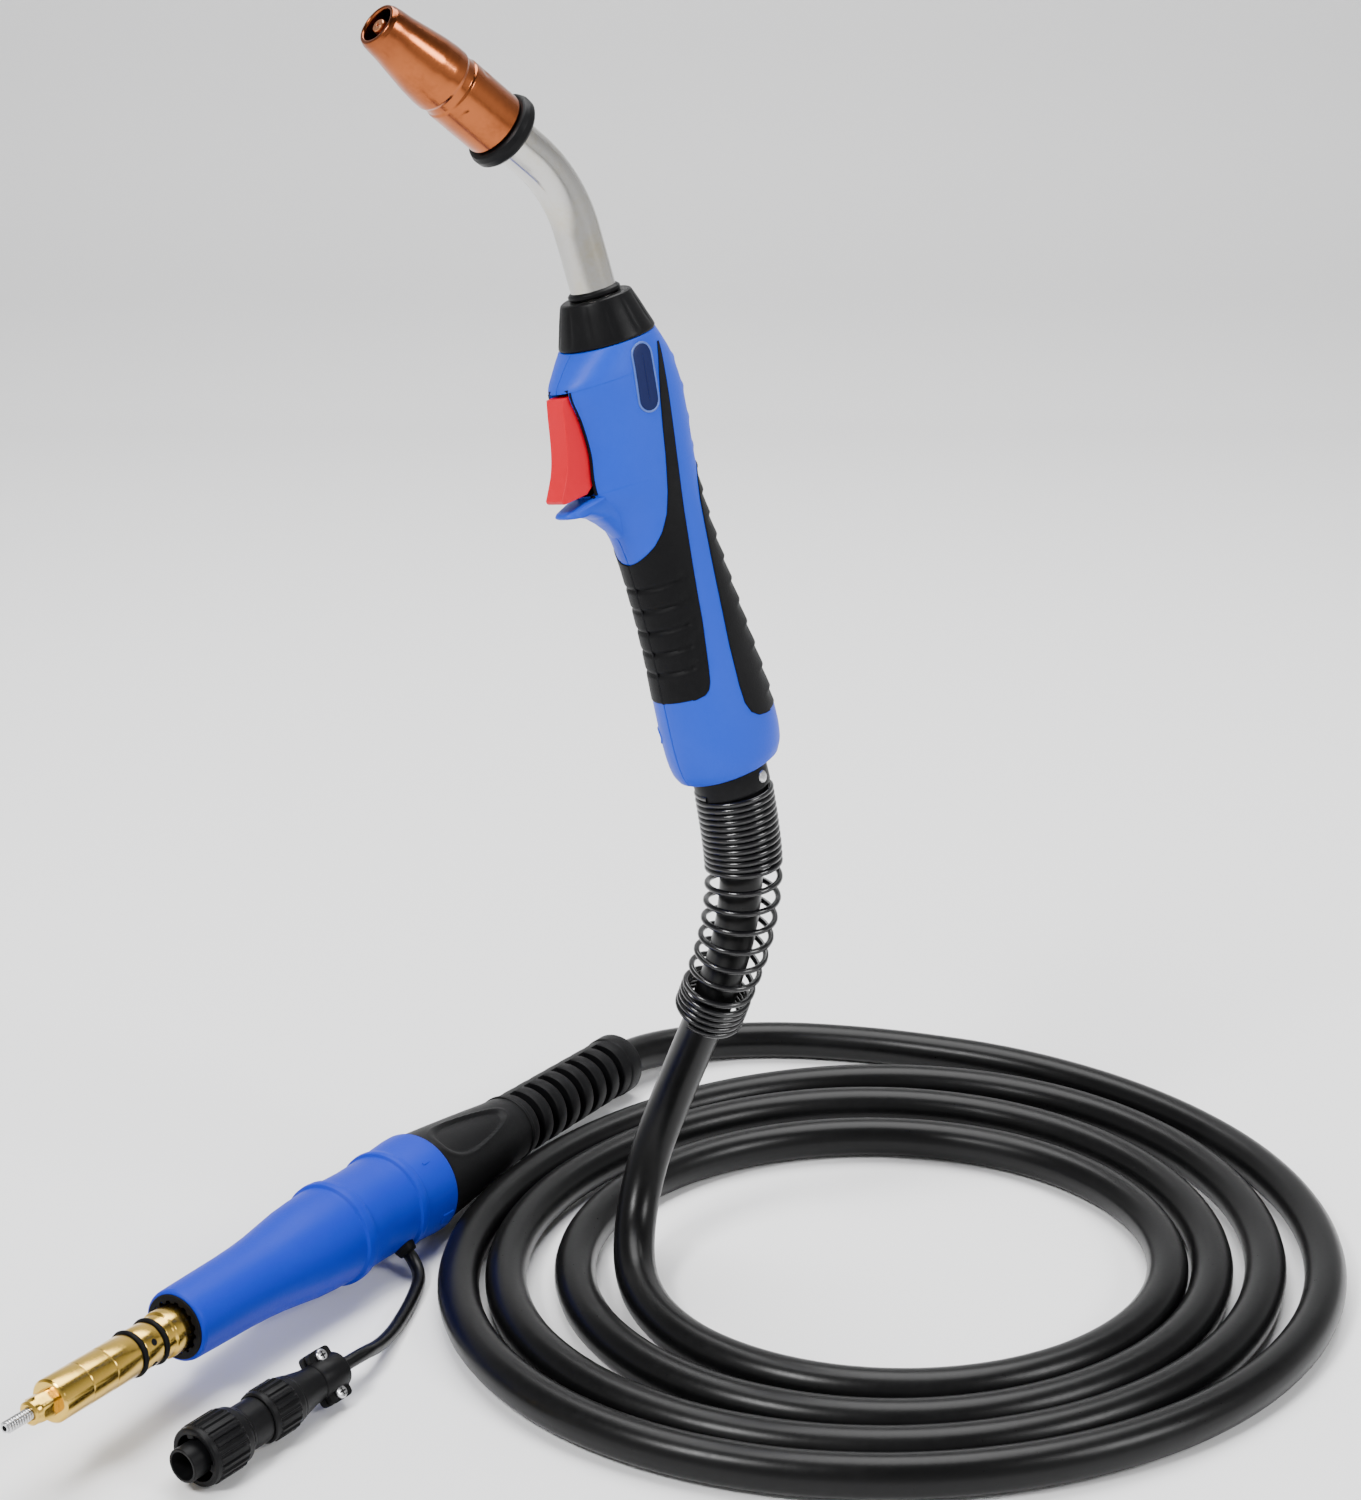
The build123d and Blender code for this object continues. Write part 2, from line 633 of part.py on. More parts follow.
def ribbed_ring(label, start, end, r_in, r_out, lip_in, lip_length, ribs):
    """Knurled ring with raised grip ribs and a narrower lip at its rear."""
    with BuildPart() as piece:
        with BuildSketch(plug_plane(start)):
            Circle(r_out)
        extrude(amount=end - start)
        chamfer(piece.edges(), length=0.5)
        with BuildSketch(plug_plane(start)):
            Circle(r_in)
        extrude(amount=end - start - lip_length, mode=Mode.SUBTRACT)
        with BuildSketch(plug_plane(start)):
            Circle(lip_in)
        extrude(amount=end - start, mode=Mode.SUBTRACT)
        with BuildSketch(plug_plane(start + 1.2)):
            with PolarLocations(r_out - 0.3, ribs):
                Rectangle(1.4, 3.4)
            Circle(r_in + 0.8, mode=Mode.SUBTRACT)
        extrude(amount=end - start - 1.8)
    save(piece, label)
    return piece


ribbed_ring("coupling_ring", 6.0, 25.2, 9.3, 10.8, 8.7, 4.0, 12)
ribbed_ring("backshell_ring", 37.0, 52.0, 8.7, 9.6, 7.1, 2.0, 12)

turned("plug_body", plug_view, [(6.6, 25.6), (8.6, 25.6), (8.6, 36.9), (8.4, 36.9), (8.4, 48), (6.6, 48)])

clamp_start = 64.0
ear_reach = 7.3
with BuildPart() as clamp_body:
    with BuildSketch(plug_view):
        with BuildLine():
            Polyline((2.7, 52.1), (8.3, 52.1), (6.9, clamp_start), (6.9, clamp_start + 1), (2.7, clamp_start + 1),
                     close=True)
        make_face()
    revolve(axis=Axis(plug_view.origin, plug_view.y_dir))
    with BuildSketch(plug_plane(clamp_start)):
        with Locations((0, 0)):
            Rectangle(2 * (ear_reach + 3.0), 5.0)
            Circle(6.4)
        Circle(lead_r + 0.05, mode=Mode.SUBTRACT)
    extrude(amount=plug_length - clamp_start)
clamp_cut = Plane(origin=Vector(*plug_nose) + plug_dir * (clamp_start + 7.5), x_dir=plug_x, z_dir=plug_screw_axis)
with BuildPart() as saddle_space:
    with BuildSketch(clamp_cut):
        Rectangle(30, 2 * (plug_length - clamp_start - 7.5) + 1)
    extrude(amount=12)
with BuildPart() as screw_space:
    with BuildSketch(clamp_cut.offset(-1.9)):
        with Locations((ear_reach, 0), (-ear_reach, 0)):
            Circle(1.3)
    extrude(amount=12)
    with BuildSketch(clamp_cut.offset(2.55)):
        with Locations((ear_reach, 0), (-ear_reach, 0)):
            Circle(2.6)
    extrude(amount=8)
with BuildPart() as clamp_lower:
    add(clamp_body.part - saddle_space.part - screw_space.part)
save(clamp_lower, "clamp_body")
with BuildPart() as clamp_saddle:
    add((clamp_body.part & saddle_space.part) - screw_space.part)
save(clamp_saddle, "clamp_saddle")

with BuildPart() as clamp_screws:
    for reach in (ear_reach, -ear_reach):
        with BuildSketch(clamp_cut.offset(-1.8)):
            with Locations((reach, 0)):
                Circle(1.25)
        extrude(amount=4.4)
        with BuildSketch(clamp_cut.offset(2.6)):
            with Locations((reach, 0)):
                Circle(2.4)
        extrude(amount=1.8)
save(clamp_screws, "clamp_screws")
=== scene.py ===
import logging
from dataclasses import dataclass, field
from enum import Enum
from math import acos, asin, ceil, cos, exp, hypot, pi, radians, sin, tan
from typing import Callable, Optional, Sequence, Union

import bmesh
import bpy
from mathutils import Matrix, Vector


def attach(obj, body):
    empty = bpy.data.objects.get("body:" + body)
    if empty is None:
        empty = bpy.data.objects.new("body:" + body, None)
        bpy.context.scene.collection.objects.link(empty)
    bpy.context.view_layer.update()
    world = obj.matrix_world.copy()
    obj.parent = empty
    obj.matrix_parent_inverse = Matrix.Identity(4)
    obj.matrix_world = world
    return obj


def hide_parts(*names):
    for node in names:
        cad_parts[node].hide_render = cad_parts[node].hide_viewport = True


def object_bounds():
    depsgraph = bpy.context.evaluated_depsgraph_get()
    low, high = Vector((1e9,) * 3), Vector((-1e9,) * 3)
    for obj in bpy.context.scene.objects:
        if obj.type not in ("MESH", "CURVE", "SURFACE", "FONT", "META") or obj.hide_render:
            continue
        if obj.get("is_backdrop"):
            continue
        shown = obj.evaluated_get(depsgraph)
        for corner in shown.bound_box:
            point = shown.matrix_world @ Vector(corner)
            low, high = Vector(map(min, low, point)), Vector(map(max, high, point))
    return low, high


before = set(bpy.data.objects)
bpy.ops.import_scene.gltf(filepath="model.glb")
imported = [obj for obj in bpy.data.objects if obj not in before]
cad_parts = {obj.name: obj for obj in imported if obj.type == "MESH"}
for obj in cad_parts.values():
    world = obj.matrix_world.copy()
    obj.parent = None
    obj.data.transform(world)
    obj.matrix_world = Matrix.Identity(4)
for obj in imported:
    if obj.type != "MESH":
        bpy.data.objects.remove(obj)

logging.basicConfig(level=logging.INFO, format="%(message)s")
LOG = logging.getLogger("torch")

MM = 0.001
FLOOR = -286.0
HALVES = (("left", -1.0), ("right", 1.0))
PAIR = tuple[float, float]
RGB = tuple[float, float, float]
POINT = Union[Vector, Sequence[float]]


# --------------------------------------------------------------------------- options
class Body(Enum):
    """CAD bodies that pieces ride on."""

    ROOT = "root"
    TRIGGER = "trigger"
    NOZZLE = "nozzle"
    LOCK_NUT = "lock_nut"
    PLUG_RING = "plug_ring"


class Slot(Enum):
    """Material slots of the record."""

    COPPER = "copper"
    BRASS = "brass"
    NECK = "neck_metal"
    STEEL = "steel"
    SPRING = "spring_steel"
    BLACK = "black_plastic"
    BLUE = "blue_plastic"
    BOOT = "blue_rubber"
    RUBBER = "black_rubber"
    CABLE = "cable_rubber"
    RED = "red_plastic"
    BADGE = "badge_blue"


# --------------------------------------------------------------------------- shading
class Wire:
    """A shader socket that does arithmetic by adding math nodes."""

    def __init__(self, graph: "Graph", socket: bpy.types.NodeSocket) -> None:
        """Keep the socket and the tree that it is in."""
        self.graph = graph
        self.socket = socket

    def maths(self, operation: str, other: Union["Wire", float], clamp: bool = False) -> "Wire":
        """Add one math node.

        Args:
            operation: Blender's name of the operation.
            other: second operand.
            clamp: whether the result is kept from 0 to 1.
        Returns:
            The result.
        """
        settings = {"operation": operation, "use_clamp": clamp}
        node = self.graph.add("ShaderNodeMath", settings, {0: self, 1: other})
        return Wire(self.graph, node.outputs[0])

    def __add__(self, other: Union["Wire", float]) -> "Wire":
        """Returns: the sum."""
        return self.maths("ADD", other)

    def __sub__(self, other: Union["Wire", float]) -> "Wire":
        """Returns: the difference."""
        return self.maths("SUBTRACT", other)

    def __mul__(self, other: Union["Wire", float]) -> "Wire":
        """Returns: the product."""
        return self.maths("MULTIPLY", other)

    def __truediv__(self, other: Union["Wire", float]) -> "Wire":
        """Returns: the quotient."""
        return self.maths("DIVIDE", other)

    __radd__ = __add__
    __rmul__ = __mul__

    def __rsub__(self, other: float) -> "Wire":
        """Returns: a number less the value."""
        return self.maths("MULTIPLY", -1.0).maths("ADD", other)

    def __rtruediv__(self, other: float) -> "Wire":
        """Returns: a number over the value."""
        return self.maths("POWER", -1.0).maths("MULTIPLY", other)

    def clamped(self) -> "Wire":
        """Returns: the value kept from 0 to 1."""
        return self.maths("ADD", 0.0, clamp=True)


class Graph:
    """The node tree of a material or of the surroundings."""

    def __init__(self, owner: Union[bpy.types.Material, bpy.types.World]) -> None:
        """Empty the owner's node tree and keep it."""
        owner.use_nodes = True
        self.tree = owner.node_tree
        self.tree.nodes.clear()

    def add(self, kind: str, settings: Optional[dict] = None, values: Optional[dict] = None) -> bpy.types.Node:
        """Add a node.

        Args:
            kind: node type.
            settings: properties, set first.
            values: input values or wires, by name or index.
        Returns:
            The node.
        """
        node = self.tree.nodes.new(kind)
        for key, value in (settings or {}).items():
            setattr(node, key, value)
        for key, value in (values or {}).items():
            if isinstance(value, Wire):
                self.tree.links.new(value.socket, node.inputs[key])
            else:
                node.inputs[key].default_value = value
        return node

    def out(self, node: bpy.types.Node, name: Union[str, int] = 0) -> Wire:
        """Returns: one output of a node as a wire."""
        return Wire(self, node.outputs[name])

    def noise(self, vector: Wire, scale: float, detail: float = 3.0, rough: float = 0.55) -> Wire:
        """Returns: noise from 0 to 1 at a scale per metre."""
        values = {"Vector": vector, "Scale": scale, "Detail": detail, "Roughness": rough}
        return self.out(self.add("ShaderNodeTexNoise", None, values), 0)

    def mix(self, factor: Wire, first: Union[Wire, RGB], second: Union[Wire, RGB]) -> Wire:
        """Find a colour between two colours.

        Args:
            factor: share of the second colour.
            first: colour at 0.
            second: colour at 1.
        Returns:
            The colour.
        """
        one = first if isinstance(first, Wire) else (*first, 1.0)
        two = second if isinstance(second, Wire) else (*second, 1.0)
        node = self.add("ShaderNodeMix", {"data_type": "RGBA"}, {0: factor, 6: one, 7: two})
        return self.out(node, 2)


@dataclass(frozen=True)
class Tint:
    """A change of colour along a piece's own axis.

    Args:
        colour: colour at the far end.
        start: station where it begins, in metres.
        end: station where it is full.
        amount: how much of it shows.
    """

    colour: RGB
    start: float
    end: float
    amount: float = 1.0


@dataclass(frozen=True)
class Finish:
    """A procedural surface.

    Args:
        slot: material slot that the surface belongs to.
        name: its own name.
        colour: main colour.
        worn: colour of its broad patches.
        roughness: mean roughness.
        spread: variation of roughness.
        metallic: 0 or 1.
        grain: fine noise per metre.
        relief: depth of the fine bump in metres.
        stretch: scale of the fine noise along each local axis.
        broad: patches per metre.
        wear: how strongly the patches show.
        gloss: strength of the mirror reflection of a surface that isn't metal.
        tint: change of colour along the axis.
    """

    slot: Slot
    # slot: material slot that the surface belongs to; not used.
    name: str
    colour: RGB
    worn: RGB
    roughness: float
    spread: float = 0.12
    metallic: float = 0.0
    grain: float = 900.0
    relief: float = 0.00004
    stretch: tuple[float, float, float] = (1.0, 1.0, 1.0)
    broad: float = 30.0
    wear: float = 0.6
    gloss: float = 0.5
    tint: Optional[Tint] = None

    def material(self) -> bpy.types.Material:
        """Returns: the material, built the first time and reused after that."""
        found = bpy.data.materials.get(self.name)
        return found if found else self.build()

    def build(self) -> bpy.types.Material:
        """Build the node tree.

        Returns:
            The new material.
        """
        material = bpy.data.materials.new(self.name)
        graph = Graph(material)
        place = graph.out(graph.add("ShaderNodeTexCoord"), "Object")
        drawn = graph.out(graph.add("ShaderNodeMapping", None, {"Vector": place, "Scale": self.stretch}))
        fine = graph.noise(drawn, self.grain)
        broad = graph.noise(place, self.broad, 4.0)
        speck = graph.noise(place, self.broad * 14.0, 2.0)
        patches = ((broad - 0.48) * 3.0 + (speck - 0.5) * 0.9).clamped() * self.wear
        colour = graph.mix(patches, self.colour, self.worn)
        if self.tint:
            split = graph.add("ShaderNodeSeparateXYZ", None, {0: place})
            along = (graph.out(split, 2) - self.tint.start) / (self.tint.end - self.tint.start)
            ragged = (along + (broad - 0.5) * 0.5).clamped() * self.tint.amount
            colour = graph.mix(ragged, colour, self.tint.colour)
        roughness = (fine - 0.5) * self.spread + patches * 0.08 + self.roughness
        bump = graph.add("ShaderNodeBump", None, {"Height": fine, "Strength": 0.8, "Distance": self.relief})
        shader = graph.add("ShaderNodeBsdfPrincipled", None, {
            "Base Color": colour, "Roughness": roughness.clamped(), "Metallic": self.metallic,
            "Specular IOR Level": self.gloss, "Normal": graph.out(bump)})
        graph.add("ShaderNodeOutputMaterial", None, {0: graph.out(shader)})
        return material


class Finishes:
    """All surfaces of the torch."""

    COPPER = Finish(Slot.COPPER, "nozzle_copper", (0.37, 0.105, 0.034), (0.17, 0.042, 0.014), 0.2, 0.14, 1.0,
                    520, 0.00001, (0.4, 0.4, 3.0), 60, 0.65, tint=Tint((0.20, 0.055, 0.02), 0.048, 0.062, 0.6))
    TIP = Finish(Slot.COPPER, "tip_copper", (0.60, 0.23, 0.10), (0.42, 0.14, 0.06), 0.28, 0.1, 1.0, 900)
    BRASS = Finish(Slot.BRASS, "turned_brass", (0.68, 0.44, 0.085), (0.48, 0.29, 0.05), 0.2, 0.18, 1.0,
                   420, 0.00003, (0.15, 0.15, 6.0), 40, 0.4)
    NECK = Finish(Slot.NECK, "neck_satin", (0.50, 0.49, 0.47), (0.44, 0.37, 0.20), 0.15, 0.12, 1.0,
                  320, 0.00001, (1.0, 1.0, 0.25), 55, 0.55)
    STEEL = Finish(Slot.STEEL, "plated_steel", (0.58, 0.58, 0.59), (0.38, 0.38, 0.39), 0.28, 0.14, 1.0, 900)
    SPRING = Finish(Slot.SPRING, "spring_black", (0.004, 0.004, 0.005), (0.012, 0.012, 0.013), 0.2, 0.1, 0.0,
                    800, 0.00002, gloss=0.6)
    BLACK = Finish(Slot.BLACK, "moulded_black", (0.005, 0.005, 0.0055), (0.012, 0.012, 0.013), 0.4, 0.16,
                   gloss=0.1)
    HOUSING = Finish(Slot.BLACK, "housing_black", (0.005, 0.005, 0.0055), (0.011, 0.011, 0.012), 0.46, 0.18,
                     0.0, 1300, 0.00008, gloss=0.1)
    # Near-black finish: the real dark line along the grip edges, and painted shade in holes, slots, screw recesses
    # and the boot mouth.
    SEAM_AND_RECESS_SHADE = Finish(Slot.BLACK, "dark_seam_and_painted_recess_shade", (0.002, 0.002, 0.003), (0.004, 0.004, 0.005), 0.7, gloss=0.15)
    BLUE = Finish(Slot.BLUE, "handle_blue", (0.007, 0.056, 0.560), (0.012, 0.075, 0.610), 0.45, 0.14,
                  0.0, 1400, 0.00006, wear=0.35, gloss=0.22)
    BOOT = Finish(Slot.BOOT, "boot_blue", (0.003, 0.026, 0.430), (0.006, 0.036, 0.460), 0.48, 0.16,
                  0.0, 1100, 0.00007, wear=0.4, gloss=0.15)
    RUBBER = Finish(Slot.RUBBER, "grip_rubber", (0.004, 0.004, 0.0045), (0.010, 0.010, 0.011), 0.5, 0.16,
                    0.0, 1500, 0.00010, gloss=0.1)
    CABLE = Finish(Slot.CABLE, "cable_sheath", (0.003, 0.003, 0.0032), (0.007, 0.007, 0.0075), 0.3, 0.12,
                   0.0, 700, 0.00002, (1.0, 1.0, 1.0), 18, 0.7, gloss=0.2)
    RED = Finish(Slot.RED, "trigger_red", (0.62, 0.002, 0.016), (0.70, 0.008, 0.030), 0.36, 0.12, 0.0, 1200,
                 0.00004, wear=0.4, gloss=0.18)
    BADGE = Finish(Slot.BADGE, "badge_navy", (0.005, 0.010, 0.065), (0.007, 0.013, 0.075), 0.42, 0.04, 0.0, 500,
                   0.00001, wear=0.15, gloss=0.15)
    RIM = Finish(Slot.BADGE, "badge_rim", (0.05, 0.11, 0.42), (0.11, 0.19, 0.54), 0.3, 0.1, 0.0, 900)
    STAGE = Finish(Slot.BLACK, "stage_paper", (0.92, 0.92, 0.925), (0.90, 0.90, 0.905), 0.8, 0.05, 0.0, 60,
                   0.0, broad=2.0, wear=0.3, gloss=0.1)


# --------------------------------------------------------------------------- frames
@dataclass(frozen=True)
class Basis:
    """A right-handed local frame, its origin in millimetres.

    Args:
        origin: where it sits.
        x: first axis.
        z: third axis.
    """

    origin: Vector
    x: Vector
    z: Vector

    @property
    def y(self) -> Vector:
        """Returns: the second axis."""
        return self.z.cross(self.x)

    def matrix(self) -> Matrix:
        """Returns: the frame as an object matrix in metres."""
        rows = [(self.x[i], self.y[i], self.z[i], self.origin[i] * MM) for i in range(3)]
        return Matrix((*rows, (0.0, 0.0, 0.0, 1.0)))

    def at(self, x: float, y: float, z: float) -> Vector:
        """Returns: a local point in the shared frame, in millimetres."""
        return self.origin + self.x * x + self.y * y + self.z * z

    def spoke(self, degrees: float) -> Vector:
        """Returns: the unit vector at an angle round the third axis."""
        return self.x * cos(radians(degrees)) + self.y * sin(radians(degrees))


LEAN, TWIST = radians(15.2), radians(45.0)
GRIP_SEAM = radians(89.6)
UP = Vector((-sin(LEAN), 0.0, cos(LEAN)))
LEFT = Vector((-cos(LEAN), 0.0, -sin(LEAN)))
HAND = Vector((0.0, -1.0, 0.0))
FRONT = LEFT * cos(TWIST) + HAND * sin(TWIST)
SIDE = UP.cross(FRONT)
HANDLE = Basis(UP * 100.0, FRONT, UP)

NECK_STRAIGHT, NECK_RADIUS, NECK_BEND, NECK_FRONT = 22.7, 46.4, radians(40.2), 9.8
BEND_END = HANDLE.at(NECK_RADIUS * (1 - cos(NECK_BEND)), 0, NECK_STRAIGHT + NECK_RADIUS * sin(NECK_BEND))
MUZZLE = UP * cos(NECK_BEND) + FRONT * sin(NECK_BEND)
HEAD = Basis(BEND_END + MUZZLE * NECK_FRONT, FRONT * cos(NECK_BEND) - UP * sin(NECK_BEND), MUZZLE)

PIN_NOSE = Vector((-209.5, -140.0, FLOOR + 33.0))
BOOT_EXIT = Vector((-25.0, 170.0, FLOOR + 13.0))
RUN = (BOOT_EXIT - PIN_NOSE).normalized()
RUN_SIDE = RUN.cross(Vector((0, 0, 1))).normalized()
REAR = Basis(PIN_NOSE, RUN_SIDE * -1, RUN)
LEAD_OUT = REAR.x * -cos(radians(42)) - REAR.y * sin(radians(42))
LEAD_ROOT = PIN_NOSE + RUN * 182.0
LEAD_EXIT = LEAD_ROOT + LEAD_OUT * 20.0

PLUG_AZIMUTH, PLUG_ROLL = radians(53.8), radians(52.0)
PLUG_NOSE = Vector((-165.0, -145.3, FLOOR + 11.4))
PLUG_RUN = Vector((cos(PLUG_AZIMUTH), sin(PLUG_AZIMUTH), 0.0))
PLUG_SIDE = Vector((sin(PLUG_AZIMUTH), -cos(PLUG_AZIMUTH), 0.0))
PLUG = Basis(PLUG_NOSE, Vector((0, 0, sin(PLUG_ROLL))) - PLUG_SIDE * cos(PLUG_ROLL), PLUG_RUN)


def handle_point(h: float, f: float = 0.0, s: float = 0.0) -> Vector:
    """Returns: the point h below the handle's top, f to the trigger side, s to the badge side."""
    return HANDLE.at(f, s, -h)


# --------------------------------------------------------------------------- geometry helpers
def circle(radius: float, count: int, x: float = 0.0, y: float = 0.0) -> list[PAIR]:
    """Returns: points round a circle."""
    return [(x + radius * cos(2 * pi * i / count), y + radius * sin(2 * pi * i / count)) for i in range(count)]


def rectangle(x: float, y: float) -> list[PAIR]:
    """Returns: the corners of a rectangle with these half sides."""
    return [(-x, -y), (x, -y), (x, y), (-x, y)]


def divided(outline: Sequence[PAIR], pitch: Callable[[PAIR, PAIR], float]) -> list[PAIR]:
    """Find a closed outline of (radius, station), its edges cut to pieces no longer than the pitch.

    Args:
        outline: points of (radius, station).
        pitch: length of a piece.
    Returns:
        The denser outline.
    """
    dense: list[PAIR] = []
    for here, ahead in zip(outline, [*outline[1:], outline[0]]):
        count = max(1, ceil(abs(ahead[1] - here[1]) / pitch(here, ahead)))
        dense += [(here[0] + (ahead[0] - here[0]) * i / count, here[1] + (ahead[1] - here[1]) * i / count)
                  for i in range(count)]
    return dense


def rounded(points: Sequence[PAIR], radius: float, steps: int = 3, closed: bool = True) -> list[PAIR]:
    """Round the corners of an outline.

    Args:
        points: corners.
        radius: wanted radius, made smaller on short edges.
        steps: points on each arc less one.
        closed: whether the last corner joins the first.
    Returns:
        The rounded outline.
    """
    result: list[PAIR] = []
    count = len(points)
    for index, here in enumerate(points):
        if not closed and index in (0, count - 1):
            result.append(here)
            continue
        corner = Vector(here)
        back = Vector(points[index - 1]) - corner
        ahead = Vector(points[(index + 1) % count]) - corner
        if min(back.length, ahead.length) < 1e-6:
            result.append(here)
            continue
        angle = back.angle(ahead)
        if angle > radians(172):
            result.append(here)
            continue
        reach = min(radius / tan(angle / 2), 0.42 * back.length, 0.42 * ahead.length)
        start = corner + back.normalized() * reach
        end = corner + ahead.normalized() * reach
        for step in range(steps + 1):
            t = step / steps
            spot = start * (1 - t) ** 2 + corner * 2 * t * (1 - t) + end * t ** 2
            result.append((spot.x, spot.y))
    return result


def blend_between(table: Sequence[PAIR], x: float) -> float:
    """Find the value at x of a smooth curve through (x, value) rows.

    Args:
        table: rows of (x, value).
        x: where the value is wanted.
    Returns:
        The value.
    """
    if x <= table[0][0]:
        return table[0][1]
    if x >= table[-1][0]:
        return table[-1][1]
    index = max(i for i in range(len(table) - 1) if table[i][0] <= x)
    (x0, y0), (x1, y1) = table[index], table[index + 1]
    before = table[max(index - 1, 0)]
    after = table[min(index + 2, len(table) - 1)]
    slope0 = (y1 - before[1]) / (x1 - before[0])
    slope1 = (after[1] - y0) / (after[0] - x0)
    width = x1 - x0
    t = (x - x0) / width
    return ((2 * t ** 3 - 3 * t ** 2 + 1) * y0 + (t ** 3 - 2 * t ** 2 + t) * width * slope0
            + (3 * t ** 2 - 2 * t ** 3) * y1 + (t ** 3 - t ** 2) * width * slope1)


def straight_between(table: Sequence[PAIR], x: float) -> float:
    """Find the value at x of straight runs through (x, value) rows.

    Args:
        table: rows of (x, value).
        x: where the value is wanted.
    Returns:
        The value.
    """
    for (x0, y0), (x1, y1) in zip(table, table[1:]):
        if x <= x1:
            t = min(max((x - x0) / (x1 - x0), 0.0), 1.0) if x1 > x0 else 0.0
            return y0 + (y1 - y0) * t
    return table[-1][1]


def step_up(x: float, low: float, high: float) -> float:
    """Returns: a smooth step from 0 at low to 1 at high."""
    t = min(max((x - low) / (high - low), 0.0), 1.0)
    return t * t * (3 - 2 * t)


def smooth_path(points: Sequence[POINT], pieces: int = 12) -> list[Vector]:
    """Find a dense smooth line through points.

    Args:
        points: points to pass through.
        pieces: steps between two points.
    Returns:
        The points of the line.
    """
    spots = [Vector(p) for p in points]
    line: list[Vector] = []
    for i in range(len(spots) - 1):
        p0, p1, p2, p3 = spots[max(i - 1, 0)], spots[i], spots[i + 1], spots[min(i + 2, len(spots) - 1)]
        for step in range(pieces):
            t = step / pieces
            line.append(0.5 * (2 * p1 + (p2 - p0) * t + (2 * p0 - 5 * p1 + 4 * p2 - p3) * t ** 2
                               + (3 * p1 - p0 - 3 * p2 + p3) * t ** 3))
    line.append(spots[-1])
    return line


@dataclass
class Shape:
    """Vertices, in millimetres, and faces of a mesh in the making."""

    points: list[Vector] = field(default_factory=list)
    faces: list[tuple[int, ...]] = field(default_factory=list)

    def grid(self, rows: Sequence[Sequence[Vector]], wrap_row: bool = False, wrap_column: bool = False,
             flip: bool = False) -> "Shape":
        """Add a grid of points.

        Args:
            rows: equally long rows.
            wrap_row: whether the last row joins the first.
            wrap_column: whether the last column joins the first.
            flip: whether to turn the faces round.
        Returns:
            The shape.
        """
        base, height, width = len(self.points), len(rows), len(rows[0])
        for row in rows:
            self.points.extend(row)
        for i in range(height if wrap_row else height - 1):
            for j in range(width if wrap_column else width - 1):
                k, m = (i + 1) % height, (j + 1) % width
                face = (base + i * width + j, base + i * width + m, base + k * width + m, base + k * width + j)
                self.faces.append(face[::-1] if flip else face)
        return self

    def lathe(self, outline: Sequence[PAIR], segments: int = 72,
              wave: Optional[Callable[[float, float, float], float]] = None, closed: bool = True) -> "Shape":
        """Turn an outline of (radius, station) about local Z.

        Args:
            outline: the outline, anticlockwise with the radius to the right.
            segments: points round the axis.
            wave: radius at (angle, radius, station), for flutes and recesses.
            closed: whether the outline is a loop.
        Returns:
            The shape.
        """
        rows = []
        for radius, station in outline:
            row = []
            for step in range(segments):
                angle = 2 * pi * step / segments
                reach = wave(angle, radius, station) if wave else radius
                row.append(Vector((reach * cos(angle), reach * sin(angle), station)))
            rows.append(row)
        return self.grid(rows, closed, True, True)

    def extrude(self, outline: Sequence[PAIR], low: float, high: float, upright: bool = False) -> "Shape":
        """Add a block over an outline.

        Args:
            outline: corners in the local XY plane, or in the XZ plane of an upright one.
            low: where it starts along Z, or along Y of an upright one.
            high: where it ends.
            upright: which of the two planes it stands on.
        Returns:
            The shape.
        """
        base, count = len(self.points), len(outline)
        for level in (low, high):
            self.points.extend(Vector((x, level, y) if upright else (x, y, level)) for x, y in outline)
        self.faces.append(tuple(base + i for i in reversed(range(count))))
        self.faces.append(tuple(base + count + i for i in range(count)))
        for i in range(count):
            j = (i + 1) % count
            self.faces.append((base + i, base + j, base + count + j, base + count + i))
        return self


